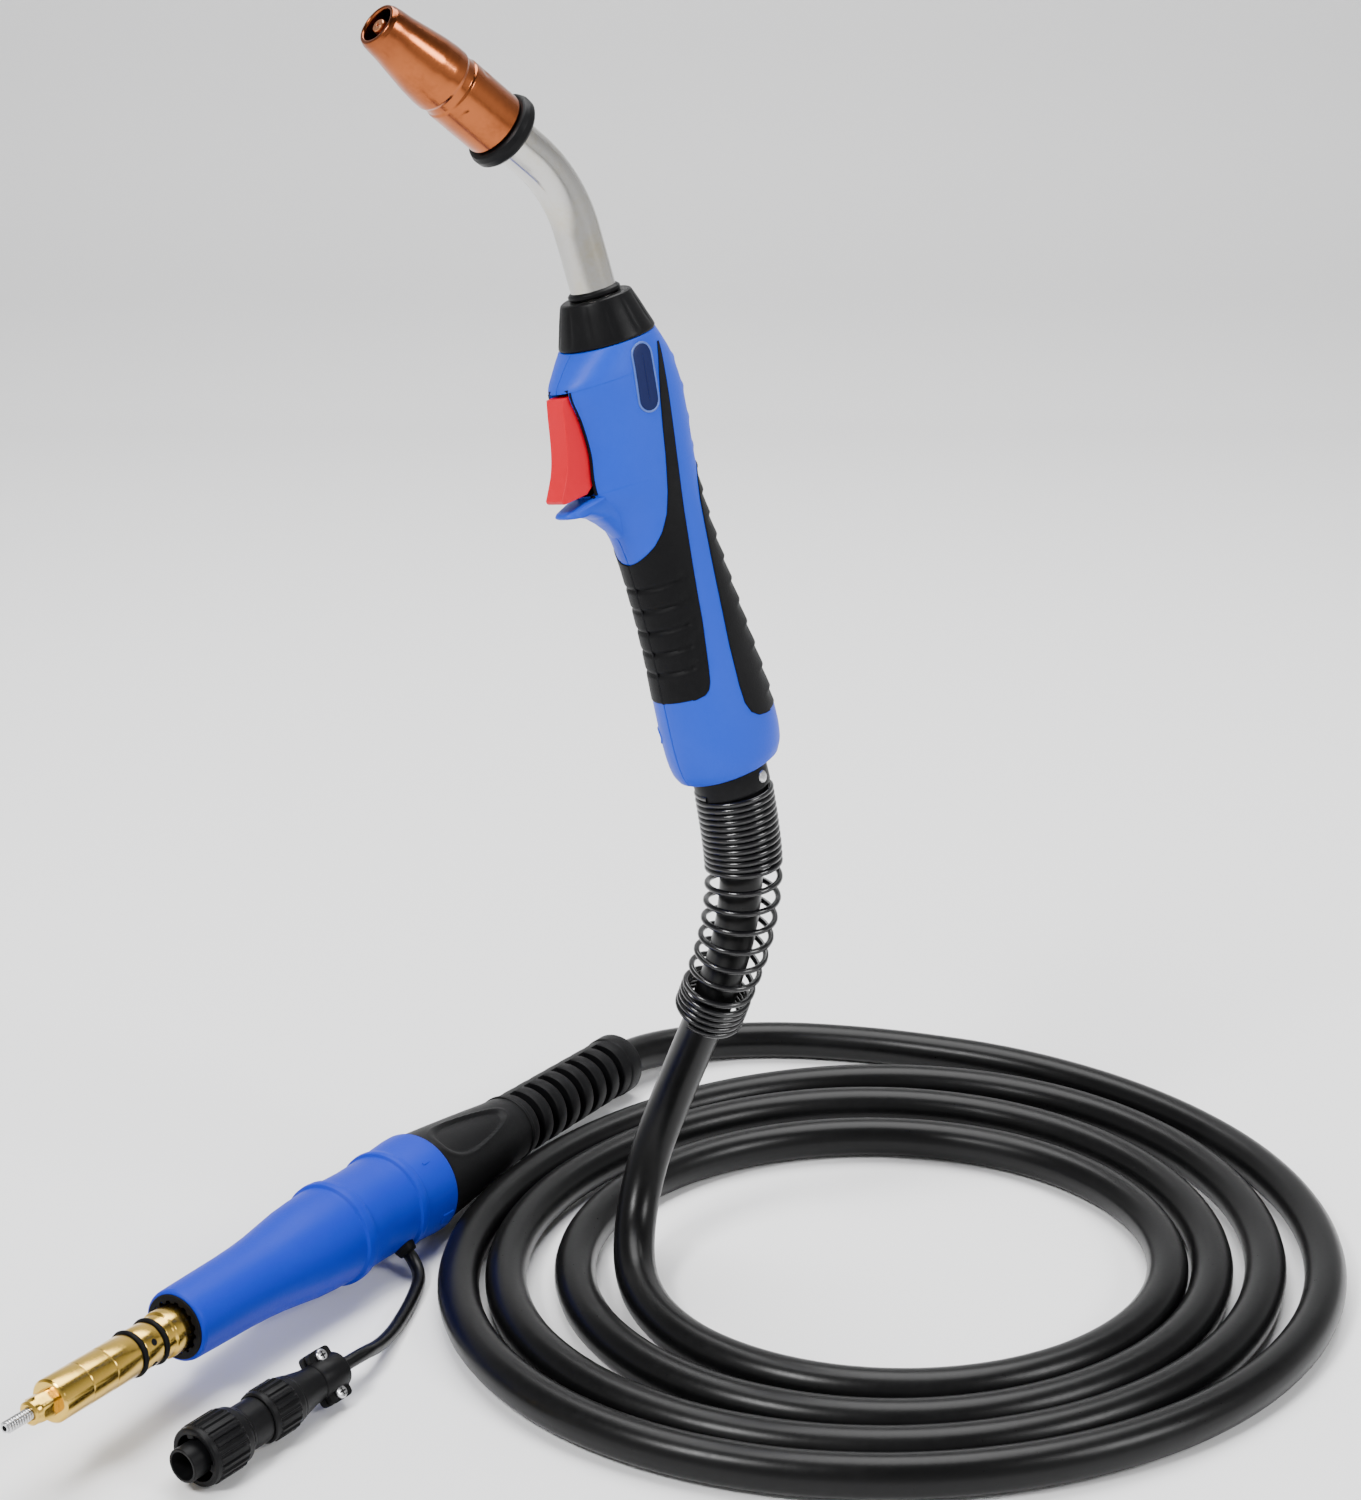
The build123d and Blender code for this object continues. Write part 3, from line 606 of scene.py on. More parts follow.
class Workshop:
    """Makes objects, gives them their finish and body, and hides the CAD nodes that they stand for."""

    def __init__(self) -> None:
        """Start the count of pieces."""
        self.count = 0

    def settle(self, piece: bpy.types.Object, finish: Finish, body: Body, nodes: Sequence[str]) -> None:
        """Give a piece its finish, body and CAD nodes.

        Args:
            piece: the piece.
            finish: its surface.
            body: body that it rides on.
            nodes: CAD nodes that it stands for.
        """
        piece.data.materials.append(finish.material())
        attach(piece, body.value)
        if nodes:
            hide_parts(*nodes)
        self.count += 1
        LOG.info("piece %s for %s", piece.name, ", ".join(nodes) or "detail")

    def mesh(self, name: str, shape: Shape, basis: Basis, finish: Finish, nodes: Sequence[str] = (),
             body: Body = Body.ROOT, bevel: float = 0.0, sharp: float = 38.0) -> bpy.types.Object:
        """Make a mesh piece.

        Args:
            name: name of the piece.
            shape: its vertices and faces in its own frame.
            basis: that frame.
            finish: surface.
            nodes: CAD nodes that it stands for.
            body: body that it rides on.
            bevel: width of a bevel in millimetres.
            sharp: angle in degrees above which an edge stays sharp.
        Returns:
            The object.
        """
        data = bpy.data.meshes.new(name)
        data.from_pydata([tuple(p * MM) for p in shape.points], [], shape.faces)
        data.validate()
        turned = bmesh.new()
        turned.from_mesh(data)
        bmesh.ops.recalc_face_normals(turned, faces=turned.faces)
        turned.to_mesh(data)
        turned.free()
        data.shade_smooth()
        data.set_sharp_from_angle(angle=radians(sharp))
        piece = bpy.data.objects.new(name, data)
        bpy.context.scene.collection.objects.link(piece)
        piece.matrix_world = basis.matrix()
        if bevel:
            cut = piece.modifiers.new("edges", "BEVEL")
            cut.width = bevel * MM
            cut.segments = 3
            cut.limit_method = "ANGLE"
            cut.angle_limit = radians(30)
            cut.harden_normals = True
        self.settle(piece, finish, body, nodes)
        return piece

    def wire(self, name: str, points: Sequence[POINT], radius: float, finish: Finish,
             nodes: Sequence[str] = (), body: Body = Body.ROOT, loop: bool = False, nurbs: bool = False,
             sides: int = 5) -> bpy.types.Object:
        """Make a round wire, tube or cord along points in the shared frame.

        Args:
            name: name of the piece.
            points: points in millimetres.
            radius: radius in millimetres.
            finish: surface.
            nodes: CAD nodes that it stands for.
            body: body that it rides on.
            loop: whether it closes on itself.
            nurbs: whether the points are the control points of a smooth spline.
            sides: how finely it is round.
        Returns:
            The object.
        """
        data = bpy.data.curves.new(name, "CURVE")
        data.dimensions = "3D"
        data.bevel_depth = radius * MM
        data.bevel_resolution = sides
        data.use_fill_caps = not loop
        spline = data.splines.new("NURBS" if nurbs else "POLY")
        spline.points.add(len(points) - 1)
        for spot, point in zip(spline.points, points):
            spot.co = (*(Vector(point) * MM), 1.0)
        if nurbs:
            spline.order_u = 3
            spline.use_endpoint_u = True
            spline.resolution_u = 8
        spline.use_cyclic_u = loop
        spline.use_smooth = True
        piece = bpy.data.objects.new(name, data)
        bpy.context.scene.collection.objects.link(piece)
        self.settle(piece, finish, body, nodes)
        return piece


# --------------------------------------------------------------------------- cords
RISER_ROUTE: list[POINT] = [
    handle_point(150), handle_point(185.6), (26.4, 0.5, -114.0), (23.6, 3.0, -143.0), (16.0, 9.0, -170.0),
    (7.5, 18.0, -196.0), (-1.0, 24.0, -221.0), (-9.5, 22.0, -244.0), (-14.5, 10.0, -264.0),
    (-15.0, -9.0, -275.5), (-9.5, -33.0, FLOOR + 8.0)]
TAIL_ROUTE: list[POINT] = [
    (106.3, 195.8, FLOOR + 8.0), (79.0, 202.1, FLOOR + 8.0), (51.3, 206.0, FLOOR + 8.0),
    (24.3, 204.6, FLOOR + 8.0), (0.0, 195.3, FLOOR + 10.0), BOOT_EXIT + RUN * 10.0, BOOT_EXIT - RUN * 16.0,
    PIN_NOSE + RUN * 290.0, PIN_NOSE + RUN * 235.0, PIN_NOSE + RUN * 180.0, PIN_NOSE + RUN * 126.0]
LEAD_ROUTE: list[POINT] = [
    LEAD_EXIT, LEAD_ROOT + LEAD_OUT * 25.4, (-97.6, -2.0, FLOOR + 2.6),
    (-98.6, -15.0, FLOOR + 2.6), (-101.2, -30.0, FLOOR + 2.6), (-104.3, -45.0, FLOOR + 3.4),
    (-108.0, -59.5, FLOOR + 6.2), PLUG_NOSE + PLUG_RUN * 89.0, PLUG_NOSE + PLUG_RUN * 75.0]


@dataclass
class Cords:
    """The main cable with its coil, and the thin control lead.

    Args:
        cable_radius: radius of the main cable.
        lead_radius: radius of the control lead.
        coil_centre: middle of the coil.
        coil_start: angle of the coil's first point, in degrees.
        coil_step: angle between its points.
        coil_radii: distance of each point from the middle, before scaling.
        coil_scale: makes up for the spline running inside its points.
    """

    cable_radius: float = 8.0
    lead_radius: float = 2.6
    coil_centre: PAIR = (87.0, 12.0)
    coil_start: float = 220.0
    coil_step: float = 15.0
    coil_scale: float = 1.0087
    coil_radii: tuple[float, ...] = (
        107.6, 107.2, 106.1, 104.7, 103.8, 103.5, 103.9, 104.7, 105.4, 105.5, 104.6, 102.7, 100.1, 97.6,
        95.7, 95.2, 96.2, 98.9, 103.3, 109.1, 115.5, 121.6, 126.5, 129.4, 130.3, 129.3, 127.1, 124.6, 122.4,
        121.1, 120.7, 121.1, 121.8, 122.7, 123.4, 124.1, 124.5, 124.7, 124.9, 125.1, 125.9, 127.5, 130.5,
        135.1, 141.3, 148.0, 153.3, 155.5, 154.4, 150.8, 146.1, 141.8, 138.9, 137.5, 137.5, 138.7, 140.7,
        143.2, 145.8, 148.2, 149.8, 150.5, 150.0, 148.8, 147.5, 147.0, 148.1, 151.6, 157.6, 165.2, 171.7,
        174.6, 173.3, 168.9, 163.3, 158.3, 155.4, 154.7, 156.2, 159.1, 162.7, 166.0, 168.5, 170.2, 171.6,
        173.9, 178.2)

    def coil(self) -> list[POINT]:
        """Returns: the points of the turns on the floor."""
        points: list[POINT] = []
        for index, radius in enumerate(self.coil_radii):
            angle = radians(self.coil_start + self.coil_step * index)
            reach = radius * self.coil_scale
            points.append((self.coil_centre[0] + reach * cos(angle), self.coil_centre[1] + reach * sin(angle),
                           FLOOR + self.cable_radius))
        return points

    def build(self, shop: Workshop) -> tuple[bpy.types.Object, bpy.types.Object]:
        """Build both cords.

        Args:
            shop: maker of pieces.
        Returns:
            The main cable and the control lead.
        """
        route = RISER_ROUTE + self.coil() + TAIL_ROUTE
        cable = shop.wire("main_cable", route, self.cable_radius, Finishes.CABLE,
                          ("main_cable_riser", "main_cable_coil", "main_cable_tail", "cable_in_connector"),
                          nurbs=True, sides=8)
        lead = shop.wire("control_lead_cord", LEAD_ROUTE, self.lead_radius, Finishes.CABLE,
                         ("control_lead",), nurbs=True, sides=6)
        return cable, lead

    def declare(self) -> None:
        """Work out the point 165 mm below the handle's top, which is not kept.
        """
        handle_point(165) * MM


# --------------------------------------------------------------------------- torch head
@dataclass
class TorchHead:
    """Nozzle, contact tip, diffuser, insulator and bent neck.

    Args:
        base: radius of the nozzle's barrel.
        rim: radius of its mouth.
        bore: radius of the mouth's bore.
        start: station of its rear end.
        length: length of the nozzle.
        neck: radius of the neck.
    """

    base: float = 11.5
    rim: float = 8.0
    bore: float = 6.0
    start: float = 7.0
    length: float = 55.7
    neck: float = 8.0

    def build(self, shop: Workshop) -> None:
        """Build every piece of the head.

        Args:
            shop: maker of pieces.
        """
        self.build_nozzle(shop)
        self.build_tip(shop)
        self.build_insulator(shop)
        self.build_neck(shop)

    def build_nozzle(self, shop: Workshop) -> None:
        """The copper nozzle with a step, four crimps and a rounded mouth.

        Args:
            shop: maker of pieces.
        """
        end, step = self.start + self.length, self.start + 24.0
        outline = [
            (9.4, self.start), (self.base - 0.4, self.start), (self.base, self.start + 0.8),
            (self.base, step - 3.2), (self.base - 0.45, step - 2.4), (self.base - 0.5, step + 0.2),
            (self.base + 0.1, step + 1.4), (self.base + 0.1, step + 4.5), (self.base - 0.4, step + 10),
            (self.rim + 0.9, end - 8), (self.rim + 0.5, end - 4), (self.rim + 0.1, end - 1.6),
            (self.rim - 0.6, end), (self.bore + 0.25, end), (self.bore, end - 0.8), (self.bore, end - 14),
            (9.4, end - 26)]

        def crimp(angle: float, radius: float, station: float) -> float:
            """Find the radius with the crimps pressed in.

            Args:
                angle: angle round the section, in radians.
                radius: radius there.
                station: place along the axis.
            Returns:
                Millimetres.
            """
            turn = (angle / (pi / 2)) % 1.0 - 0.5
            pressed = exp(-(turn / 0.09) ** 2 - ((station - step + 8.0) / 1.3) ** 2)
            return radius - 0.5 * pressed if radius > 10 else radius

        dense = divided(rounded(outline, 0.8, 4), lambda here, ahead: 0.8)
        shop.mesh("gas_nozzle", Shape().lathe(dense, 96, crimp), HEAD, Finishes.COPPER, ("nozzle",), Body.NOZZLE)

    def build_tip(self, shop: Workshop) -> None:
        """Contact tip with its wire bore and two spanner flats, and the diffuser behind it.

        Args:
            shop: maker of pieces.
        """
        end = self.start + self.length - 0.5

        def flats(angle: float, radius: float, station: float) -> float:
            """Find the radius with two flats near the tip's root.

            Args:
                angle: angle round the section, in radians.
                radius: radius there.
                station: place along the axis.
            Returns:
                Millimetres.
            """
            if radius > 2.9 and 38.0 < station < 45.0:
                return min(radius, 2.75 / max(abs(cos(angle)), 1e-6))
            return radius

        tip = [(0.6, 28), (2.4, 28), (2.4, 36), (3.2, 36), (3.2, 38), (3.2, 38.2), (3.2, 44.8), (3.2, 45),
               (3.2, end - 5), (2.4, end - 0.4), (2.1, end), (0.6, end)]
        shop.mesh("wire_tip", Shape().lathe(rounded(tip, 0.2), 64, flats), HEAD, Finishes.TIP, ("contact_tip",))
        body = [(2.45, -4), (4.6, -4), (4.6, 3), (7.0, 3), (7.0, 24), (6.2, 25), (6.2, 27), (5.8, 28), (5.8, 30),
                (6.2, 31), (6.2, 35), (5.2, 36), (2.45, 36)]
        shop.mesh("diffuser_body", Shape().lathe(rounded(body, 0.3), 64), HEAD, Finishes.BRASS, ("gas_diffuser",))
        for port in range(4):
            out = HEAD.spoke(90 * port + 45)
            place = Basis(HEAD.at(0, 0, 29.0) + out * 5.3, MUZZLE, out)
            ring = [(0.7, 0.0), (1.15, 0.0), (1.15, 0.7), (0.95, 0.75), (0.7, 0.3)]
            # The near-black port rings are painted shade inside the diffuser's gas holes.
            shop.mesh(f"gas_port_{port}", Shape().lathe(ring, 24), place, Finishes.SEAM_AND_RECESS_SHADE)

    def build_insulator(self, shop: Workshop) -> None:
        """Flared black insulator between the nozzle and the neck, and its spring clip.

        Args:
            shop: maker of pieces.
        """
        outline = [(8.05, 0.6), (11.0, 0.6), (12.4, 1.1), (13.5, 2.3), (13.6, 4.6), (12.9, 6.3),
                   (12.0, 6.7), (9.0, 6.7), (9.0, 11), (8.1, 11), (8.1, 13.2), (9.0, 13.2), (9.0, 23), (7.05, 23),
                   (7.05, 2.0), (8.05, 1.8)]
        shop.mesh("insulator_ring", Shape().lathe(rounded(outline, 0.5), 80), HEAD, Finishes.BLACK,
                  ("nozzle_insulator",))
        clip = [HEAD.at(x, y, 12.1) for x, y in circle(8.55, 36)[1:]]
        shop.wire("spring_clip", clip, 0.4, Finishes.STEEL, ("insulator_clip",))

    def build_neck(self, shop: Workshop) -> None:
        """Bent neck tube with a rolled bead where it meets the lock nut.

        Args:
            shop: maker of pieces.
        """
        line = [handle_point(14.0), handle_point(7.0), handle_point(0.0), handle_point(-NECK_STRAIGHT * 0.5)]
        for step in range(33):
            angle = NECK_BEND * step / 32
            line.append(HANDLE.at(NECK_RADIUS * (1 - cos(angle)), 0, NECK_STRAIGHT + NECK_RADIUS * sin(angle)))
        line.append(HEAD.at(0, 0, 1.9))
        shop.wire("neck_tube", line, self.neck, Finishes.NECK, ("neck_jacket",), sides=12)
        foot = [(7.9, 0.2), (8.8, 0.2), (9.3, 0.8), (9.3, 1.9), (8.5, 2.6), (7.9, 2.8)]
        shop.mesh("neck_foot_ring", Shape().lathe(rounded(foot, 0.3), 64), HANDLE, Finishes.BLACK)


# --------------------------------------------------------------------------- handle
@dataclass
class HandleForm:
    """The handle's sections: station, reach to the trigger side, reach to the back, half width."""

    sections: tuple[tuple[float, float, float, float], ...] = (
        (15.4, 18.0, 17.2, 17.2), (20.0, 23.6, 19.6, 17.2), (26.0, 29.0, 22.0, 17.2), (37.0, 27.8, 23.4, 17.1),
        (48.5, 27.8, 22.4, 16.8), (58.5, 30.0, 20.8, 16.4), (65.5, 29.6, 19.9, 16.1), (73.0, 24.5, 19.4, 15.8),
        (84.0, 19.9, 19.6, 15.6), (104.0, 18.8, 21.2, 15.6), (126.0, 19.4, 23.2, 16.3),
        (148.0, 21.4, 25.0, 17.5), (164.0, 22.4, 25.4, 18.0), (173.0, 21.6, 24.0, 17.6),
        (178.0, 19.0, 20.6, 16.4))

    known: dict[float, tuple[float, float, float]] = field(default_factory=dict)

    def section(self, h: float) -> tuple[float, float, float]:
        """Find front reach, back reach and half width at a station.

        Args:
            h: station below the top of the handle.
        Returns:
            Millimetres.
        """
        if h not in self.known:
            tables = [[(row[0], row[k]) for row in self.sections] for k in (1, 2, 3)]
            self.known[h] = tuple(blend_between(table, h) for table in tables)
        return self.known[h]

    def angle(self, h: float, f: float) -> float:
        """Find the angle on the section, 0 at the side and 90 degrees at the front.

        Args:
            h: station below the top of the handle.
            f: reach to the trigger side.
        Returns:
            Radians.
        """
        front, back, _ = self.section(h)
        reach = front if f >= 0 else back
        return asin(min(max(f / reach, -1.0), 1.0))

    def point(self, h: float, angle: float, sign: float, lift: float = 0.0) -> Vector:
        """Find a point of the surface in the handle's frame, lifted along its normal.

        Args:
            h: station below the top of the handle.
            angle: angle round the section, in radians.
            sign: which half of the handle, -1 or 1.
            lift: height above the surface.
        Returns:
            The point in millimetres.
        """
        front, back, half = self.section(h)
        reach = front if angle >= 0 else back
        normal = Vector((sin(angle) / reach, cos(angle) / half)).normalized()
        return Vector((reach * sin(angle) + normal.x * lift, sign * (half * cos(angle) + normal.y * lift), -h))

    def patch(self, rows: Sequence[tuple[float, float, float, float]], sign: float,
              lift: Callable[[float, float, float], float], columns: int = 56, edge: float = 0.5,
              deep: float = 1.3) -> Shape:
        """Cover part of the surface with a pad that has rounded edges.

        Args:
            rows: station, first angle, last angle and extra inset of each row.
            sign: which half of the handle.
            lift: height of the pad at (station, angle, sign).
            columns: points across.
            edge: radius of its rounded edge.
            deep: how far its skirt goes in.
        Returns:
            The pad.
        """
        top, bottom = rows[0][0], rows[-1][0]
        lines = []
        for number, (h, low, high, inset) in enumerate([rows[0], *rows, rows[-1]]):
            front, _, half = self.section(h)
            width = abs(high - low) * (front + half) / 2
            line = []
            for column in range(-1, columns + 1):
                t = (1 - cos(pi * min(max(column, 0), columns - 1) / (columns - 1))) / 2
                near = min(t * width, (1 - t) * width, h - top + 0.02, bottom - h + 0.02)
                near = min(max(near, 0.0), edge)
                drop = edge - (edge ** 2 - (edge - near) ** 2) ** 0.5
                angle = low + (high - low) * t
                height = lift(h, angle, sign) - drop - inset
                if column in (-1, columns) or number in (0, len(rows) + 1):
                    height -= deep
                line.append(self.point(h, angle, sign, height))
            lines.append(line)
        return Shape().grid(lines, flip=sign < 0)


def stations(start: float, end: float, pitch: float) -> list[float]:
    """Find stations from start to end, closer together at both ends.

    Args:
        start: first station.
        end: last station.
        pitch: length of a piece.
    Returns:
        The stations.
    """
    close = [0.0, 0.05, 0.15, 0.3, 0.5, 0.8, 1.2]
    count = ceil((end - start - 3.0) / pitch)
    middle = [start + 1.5 + (end - start - 3.0) * i / count for i in range(count + 1)]
    return [start + c for c in close] + middle + [end - c for c in reversed(close)]


@dataclass
class Handle:
    """Two-part blue shell with rubber grips, trigger, badge and lock nut.

    Args:
        slot_top: station where the trigger's slot begins.
        slot_end: station where it ends.
        slot_half: half its width.
        plunger_station: station of the switch plunger, which passes through the slot's floor.
        plunger_gap: half the opening in the floor for it.
        grooves: stations of the grooves of the front grip.
        thumb_ribs: stations of the ribs under the thumb.
        screws: (reach, station) of each screw.
    """

    slot_top: float = 26.1
    slot_end: float = 62.5
    slot_half: float = 4.85
    plunger_station: float = 51.5
    plunger_gap: float = 2.6
    grooves: tuple[float, ...] = (100.5, 108.5, 116.5, 124.3, 132.0)
    thumb_ribs: tuple[float, ...] = (30.0, 41.0, 52.0, 62.0)
    screws: tuple[PAIR, ...] = ((14.0, 22.6), (-14.0, 62.0), (-13.5, 112.0), (-18.2, 158.0), (17.4, 158.0))
    form: HandleForm = field(default_factory=HandleForm)

    def build(self, shop: Workshop) -> None:
        """Build every piece of the handle.

        Args:
            shop: maker of pieces.
        """
        self.build_shell(shop)
        self.build_hook(shop)
        self.build_front_grip(shop)
        self.build_rear_grip(shop)
        self.build_trigger(shop)
        self.build_badge(shop)
        self.build_screws(shop)
        self.build_lock_nut(shop)

    def shell_lift(self, h: float, angle: float, sign: float) -> float:
        """Find height of the shell, with ribs under the thumb and pockets for rubber and screws.

        Args:
            h: station below the top of the handle.
            angle: angle round the section, in radians.
            sign: which half of the handle, -1 or 1.
        Returns:
            Millimetres.
        """
        back = step_up(-angle, radians(48), radians(62))
        ribs = sum(exp(-((h - station + 1.6) / 1.5) ** 2) for station in self.thumb_ribs)
        lift = 0.55 * back * ribs
        if 21.5 < h < 142.0:
            low = self.form.angle(h, straight_between(FRONT_BACK_EDGE, h)) + 0.05
            high = self.form.angle(h, straight_between(FRONT_FRONT_EDGE, h)) - 0.05 if h < FRONT_SHOULDER else 2.0
            lift -= 1.1 * step_up(angle, low, low + 0.03) * (1 - step_up(angle, high - 0.03, high))
        if 68.0 < h < 158.5:
            edge = self.form.angle(h, straight_between(REAR_FRONT_EDGE, h)) - 0.05
            lift -= 1.1 * (1 - step_up(angle, edge - 0.03, edge))
        return lift - self.well_depth(h, angle, sign)

    def well_depth(self, h: float, angle: float, sign: float) -> float:
        """Find how far the surface is sunk for the screws of the far side.

        Args:
            h: station below the top of the handle.
            angle: angle round the section, in radians.
            sign: which half of the handle, -1 or 1.
        Returns:
            Millimetres.
        """
        if sign > 0:
            return 0.0
        front, back, _ = self.form.section(h)
        f = (front if angle >= 0 else back) * sin(angle)
        near = min(hypot(f - place[0], h - place[1]) for place in self.screws)
        return 3.6 if near < 2.75 else 0.0

    def build_shell(self, shop: Workshop) -> None:
        """The two halves, with the seam and the slot between them.

        Args:
            shop: maker of pieces.
        """
        seam = radians(89.7)
        marks = stations(15.4, 178.0, 1.0) + [self.slot_top - 0.03, self.slot_top + 0.03,
                                             self.slot_end - 0.03, self.slot_end + 0.03]
        for label, sign in HALVES:
            rows = []
            for h in sorted(set(marks)):
                half = self.form.section(h)[2]
                open_here = self.slot_top < h < self.slot_end
                high = acos(self.slot_half / half) if open_here else seam
                inset = 2.2 * step_up(h, 176.4, 178.0) ** 2
                rows.append((h, -seam, high, inset))
            shape = self.form.patch(rows, sign, self.shell_lift, 84, 0.35, 2.6)
            shop.mesh(f"shell_{label}", shape, HANDLE, Finishes.BLUE, (f"handle_shell_{label}",), sharp=50)
        walls = Shape()
        front = [(self.form.section(h)[0] * 0.955, -h) for h in stations(self.slot_top, self.slot_end, 2.0)]
        for low in (-self.slot_half - 1.0, self.slot_half - 0.1):
            walls.extrude([(16.0, -self.slot_top), *front, (16.0, -self.slot_end)], low, low + 1.1, True)
        for h in (self.slot_top - 1.0, self.slot_end):
            reach = self.form.section(h)[0] - 0.6
            corners = [(16.0, -h), (reach, -h), (reach, -h - 1.0), (16.0, -h - 1.0)]
            walls.extrude(corners, -self.slot_half, self.slot_half, True)
        middle, gap = self.plunger_station, self.plunger_gap
        for top, end, low, high in ((self.slot_top, middle - gap, -self.slot_half, self.slot_half),
                                    (middle + gap, self.slot_end, -self.slot_half, self.slot_half),
                                    (middle - gap, middle + gap, -self.slot_half, -gap),
                                    (middle - gap, middle + gap, gap, self.slot_half)):
            walls.extrude([(15.0, -top), (16.0, -top), (16.0, -end), (15.0, -end)], low, high, True)
        # The slot's walls and floor are painted near-black: painted shade inside the trigger slot.
        shop.mesh("trigger_slot_walls", walls, HANDLE, Finishes.SEAM_AND_RECESS_SHADE)

    def build_hook(self, shop: Workshop) -> None:
        """Beak below the trigger that keeps the finger in place.

        Args:
            shop: maker of pieces.
        """
        outline = [(14, -62.9), (27, -63.1), (34, -63.5), (41.8, -64.7), (42.9, -65.8), (41.6, -66.8), (37.4, -67.6),
                   (33.0, -69.0), (28.9, -71.2), (25.4, -74.6), (22.3, -78.6), (19.4, -83.0), (14.5, -88), (10, -88)]
        lines = []
        smooth = rounded(outline, 4.0, 5)
        for step in range(25):
            across = -1.0 + step / 12.0
            sink = 1.0 - (1.0 - min(abs(across), 0.999) ** 2.8) ** 0.5
            line = []
            for f, z in smooth:
                half = 7.6 - 3.2 * step_up(-z, 70.0, 82.0) - 2.2 * step_up(f, 34.0, 43.0)
                pull = sink * (2.0 + 3.6 * step_up(f, 20.0, 30.0))
                line.append(Vector((f - pull, half * across, z + sink * (0.8 if z < -67 else -0.8))))
            lines.append(line)
        shape = Shape().grid(lines, False, True)
        count = len(smooth)
        shape.faces.append(tuple(range(count)))
        shape.faces.append(tuple(reversed(range(24 * count, 25 * count))))
        shop.mesh("finger_hook", shape, HANDLE, Finishes.BLUE, sharp=60)

    def outline_wire(self, shop: Workshop, name: str, rows: Sequence[tuple[float, float, float, float]],
                     sign: float, front: bool, back: bool) -> None:
        """Dark line let into the shell along a pad's edges.

        Args:
            shop: maker of pieces.
            name: name of the line.
            rows: rows of the pad.
            sign: which half of the handle, -1 or 1.
            front: whether to draw the edge on the trigger side.
            back: whether to draw the edge on the palm side.
        """
        path: list[Vector] = []
        if back:
            path += [self.form.point(h, low, sign, 0.0) for h, low, _, _ in rows]
        if front:
            path += [self.form.point(h, high, sign, 0.0) for h, _, high, _ in reversed(rows)]
        spots = [HANDLE.at(*p) for p in path]
        shop.wire(name, spots, 0.32, Finishes.SEAM_AND_RECESS_SHADE, loop=front and back, sides=3)

    def front_lift(self, h: float, angle: float, sign: float) -> float:
        """Find height of the front grip, with grooves that end in small dimples.

        Args:
            h: station below the top of the handle.
            angle: angle round the section, in radians.
            sign: which half of the handle, -1 or 1.
        Returns:
            Millimetres.
        """
        back = self.form.angle(h, straight_between(FRONT_BACK_EDGE, h))
        inside = step_up(angle - back, radians(10), radians(17))
        cut = sum(exp(-((h - station - 1.3 * sin(angle)) / 0.75) ** 2) for station in self.grooves)
        hollow = sum(exp(-((h - station) / 1.8) ** 2 - ((angle - back - radians(14)) / 0.09) ** 2)
                     for station in self.grooves)
        return 0.28 - 0.75 * cut * inside - 0.5 * hollow - self.well_depth(h, angle, sign)

    def build_front_grip(self, shop: Workshop) -> None:
        """Black rubber on the trigger side, with a tongue that runs up beside the badge.

        Args:
            shop: maker of pieces.
        """
        for label, sign in HALVES:
            rows = []
            for h in stations(20.0, 144.0, 0.55):
                low = self.form.angle(h, straight_between(FRONT_BACK_EDGE, h))
                high = self.form.angle(h, straight_between(FRONT_FRONT_EDGE, h))
                if h > FRONT_SHOULDER:
                    high = GRIP_SEAM
                rows.append((h, low, max(high, low + 0.01), 0.0))
            shape = self.form.patch(rows, sign, self.front_lift, 72, 0.45)
            shop.mesh(f"front_rubber_{label}", shape, HANDLE, Finishes.RUBBER, (f"front_grip_{label}",), sharp=55)
            self.outline_wire(shop, f"front_rubber_line_{label}", rows, sign, True, True)

    def rear_lift(self, h: float, angle: float, sign: float) -> float:
        """Find height of the rear grip, with ribs like saw teeth.

        Args:
            h: station below the top of the handle.
            angle: angle round the section, in radians.
            sign: which half of the handle, -1 or 1.
        Returns:
            Millimetres.
        """
        back = step_up(-angle, radians(30), radians(52))
        phase = ((h - 69.0) / 8.6) % 1.0
        tooth = phase if phase < 0.86 else (1.0 - phase) / 0.14 * 0.86
        return 0.28 + back * (0.9 * tooth - 0.55) - self.well_depth(h, angle, sign)

    def build_rear_grip(self, shop: Workshop) -> None:
        """Black rubber under the palm, with ribs across the back.

        Args:
            shop: maker of pieces.
        """
        for label, sign in HALVES:
            rows = []
            for h in stations(66.4, 160.2, 0.45):
                high = self.form.angle(h, straight_between(REAR_FRONT_EDGE, h))
                rows.append((h, -GRIP_SEAM, high, 0.0))
            shape = self.form.patch(rows, sign, self.rear_lift, 60, 0.45)
            shop.mesh(f"rear_rubber_{label}", shape, HANDLE, Finishes.RUBBER, (f"rear_grip_{label}",), sharp=55)
            self.outline_wire(shop, f"rear_rubber_line_{label}", rows, sign, True, False)

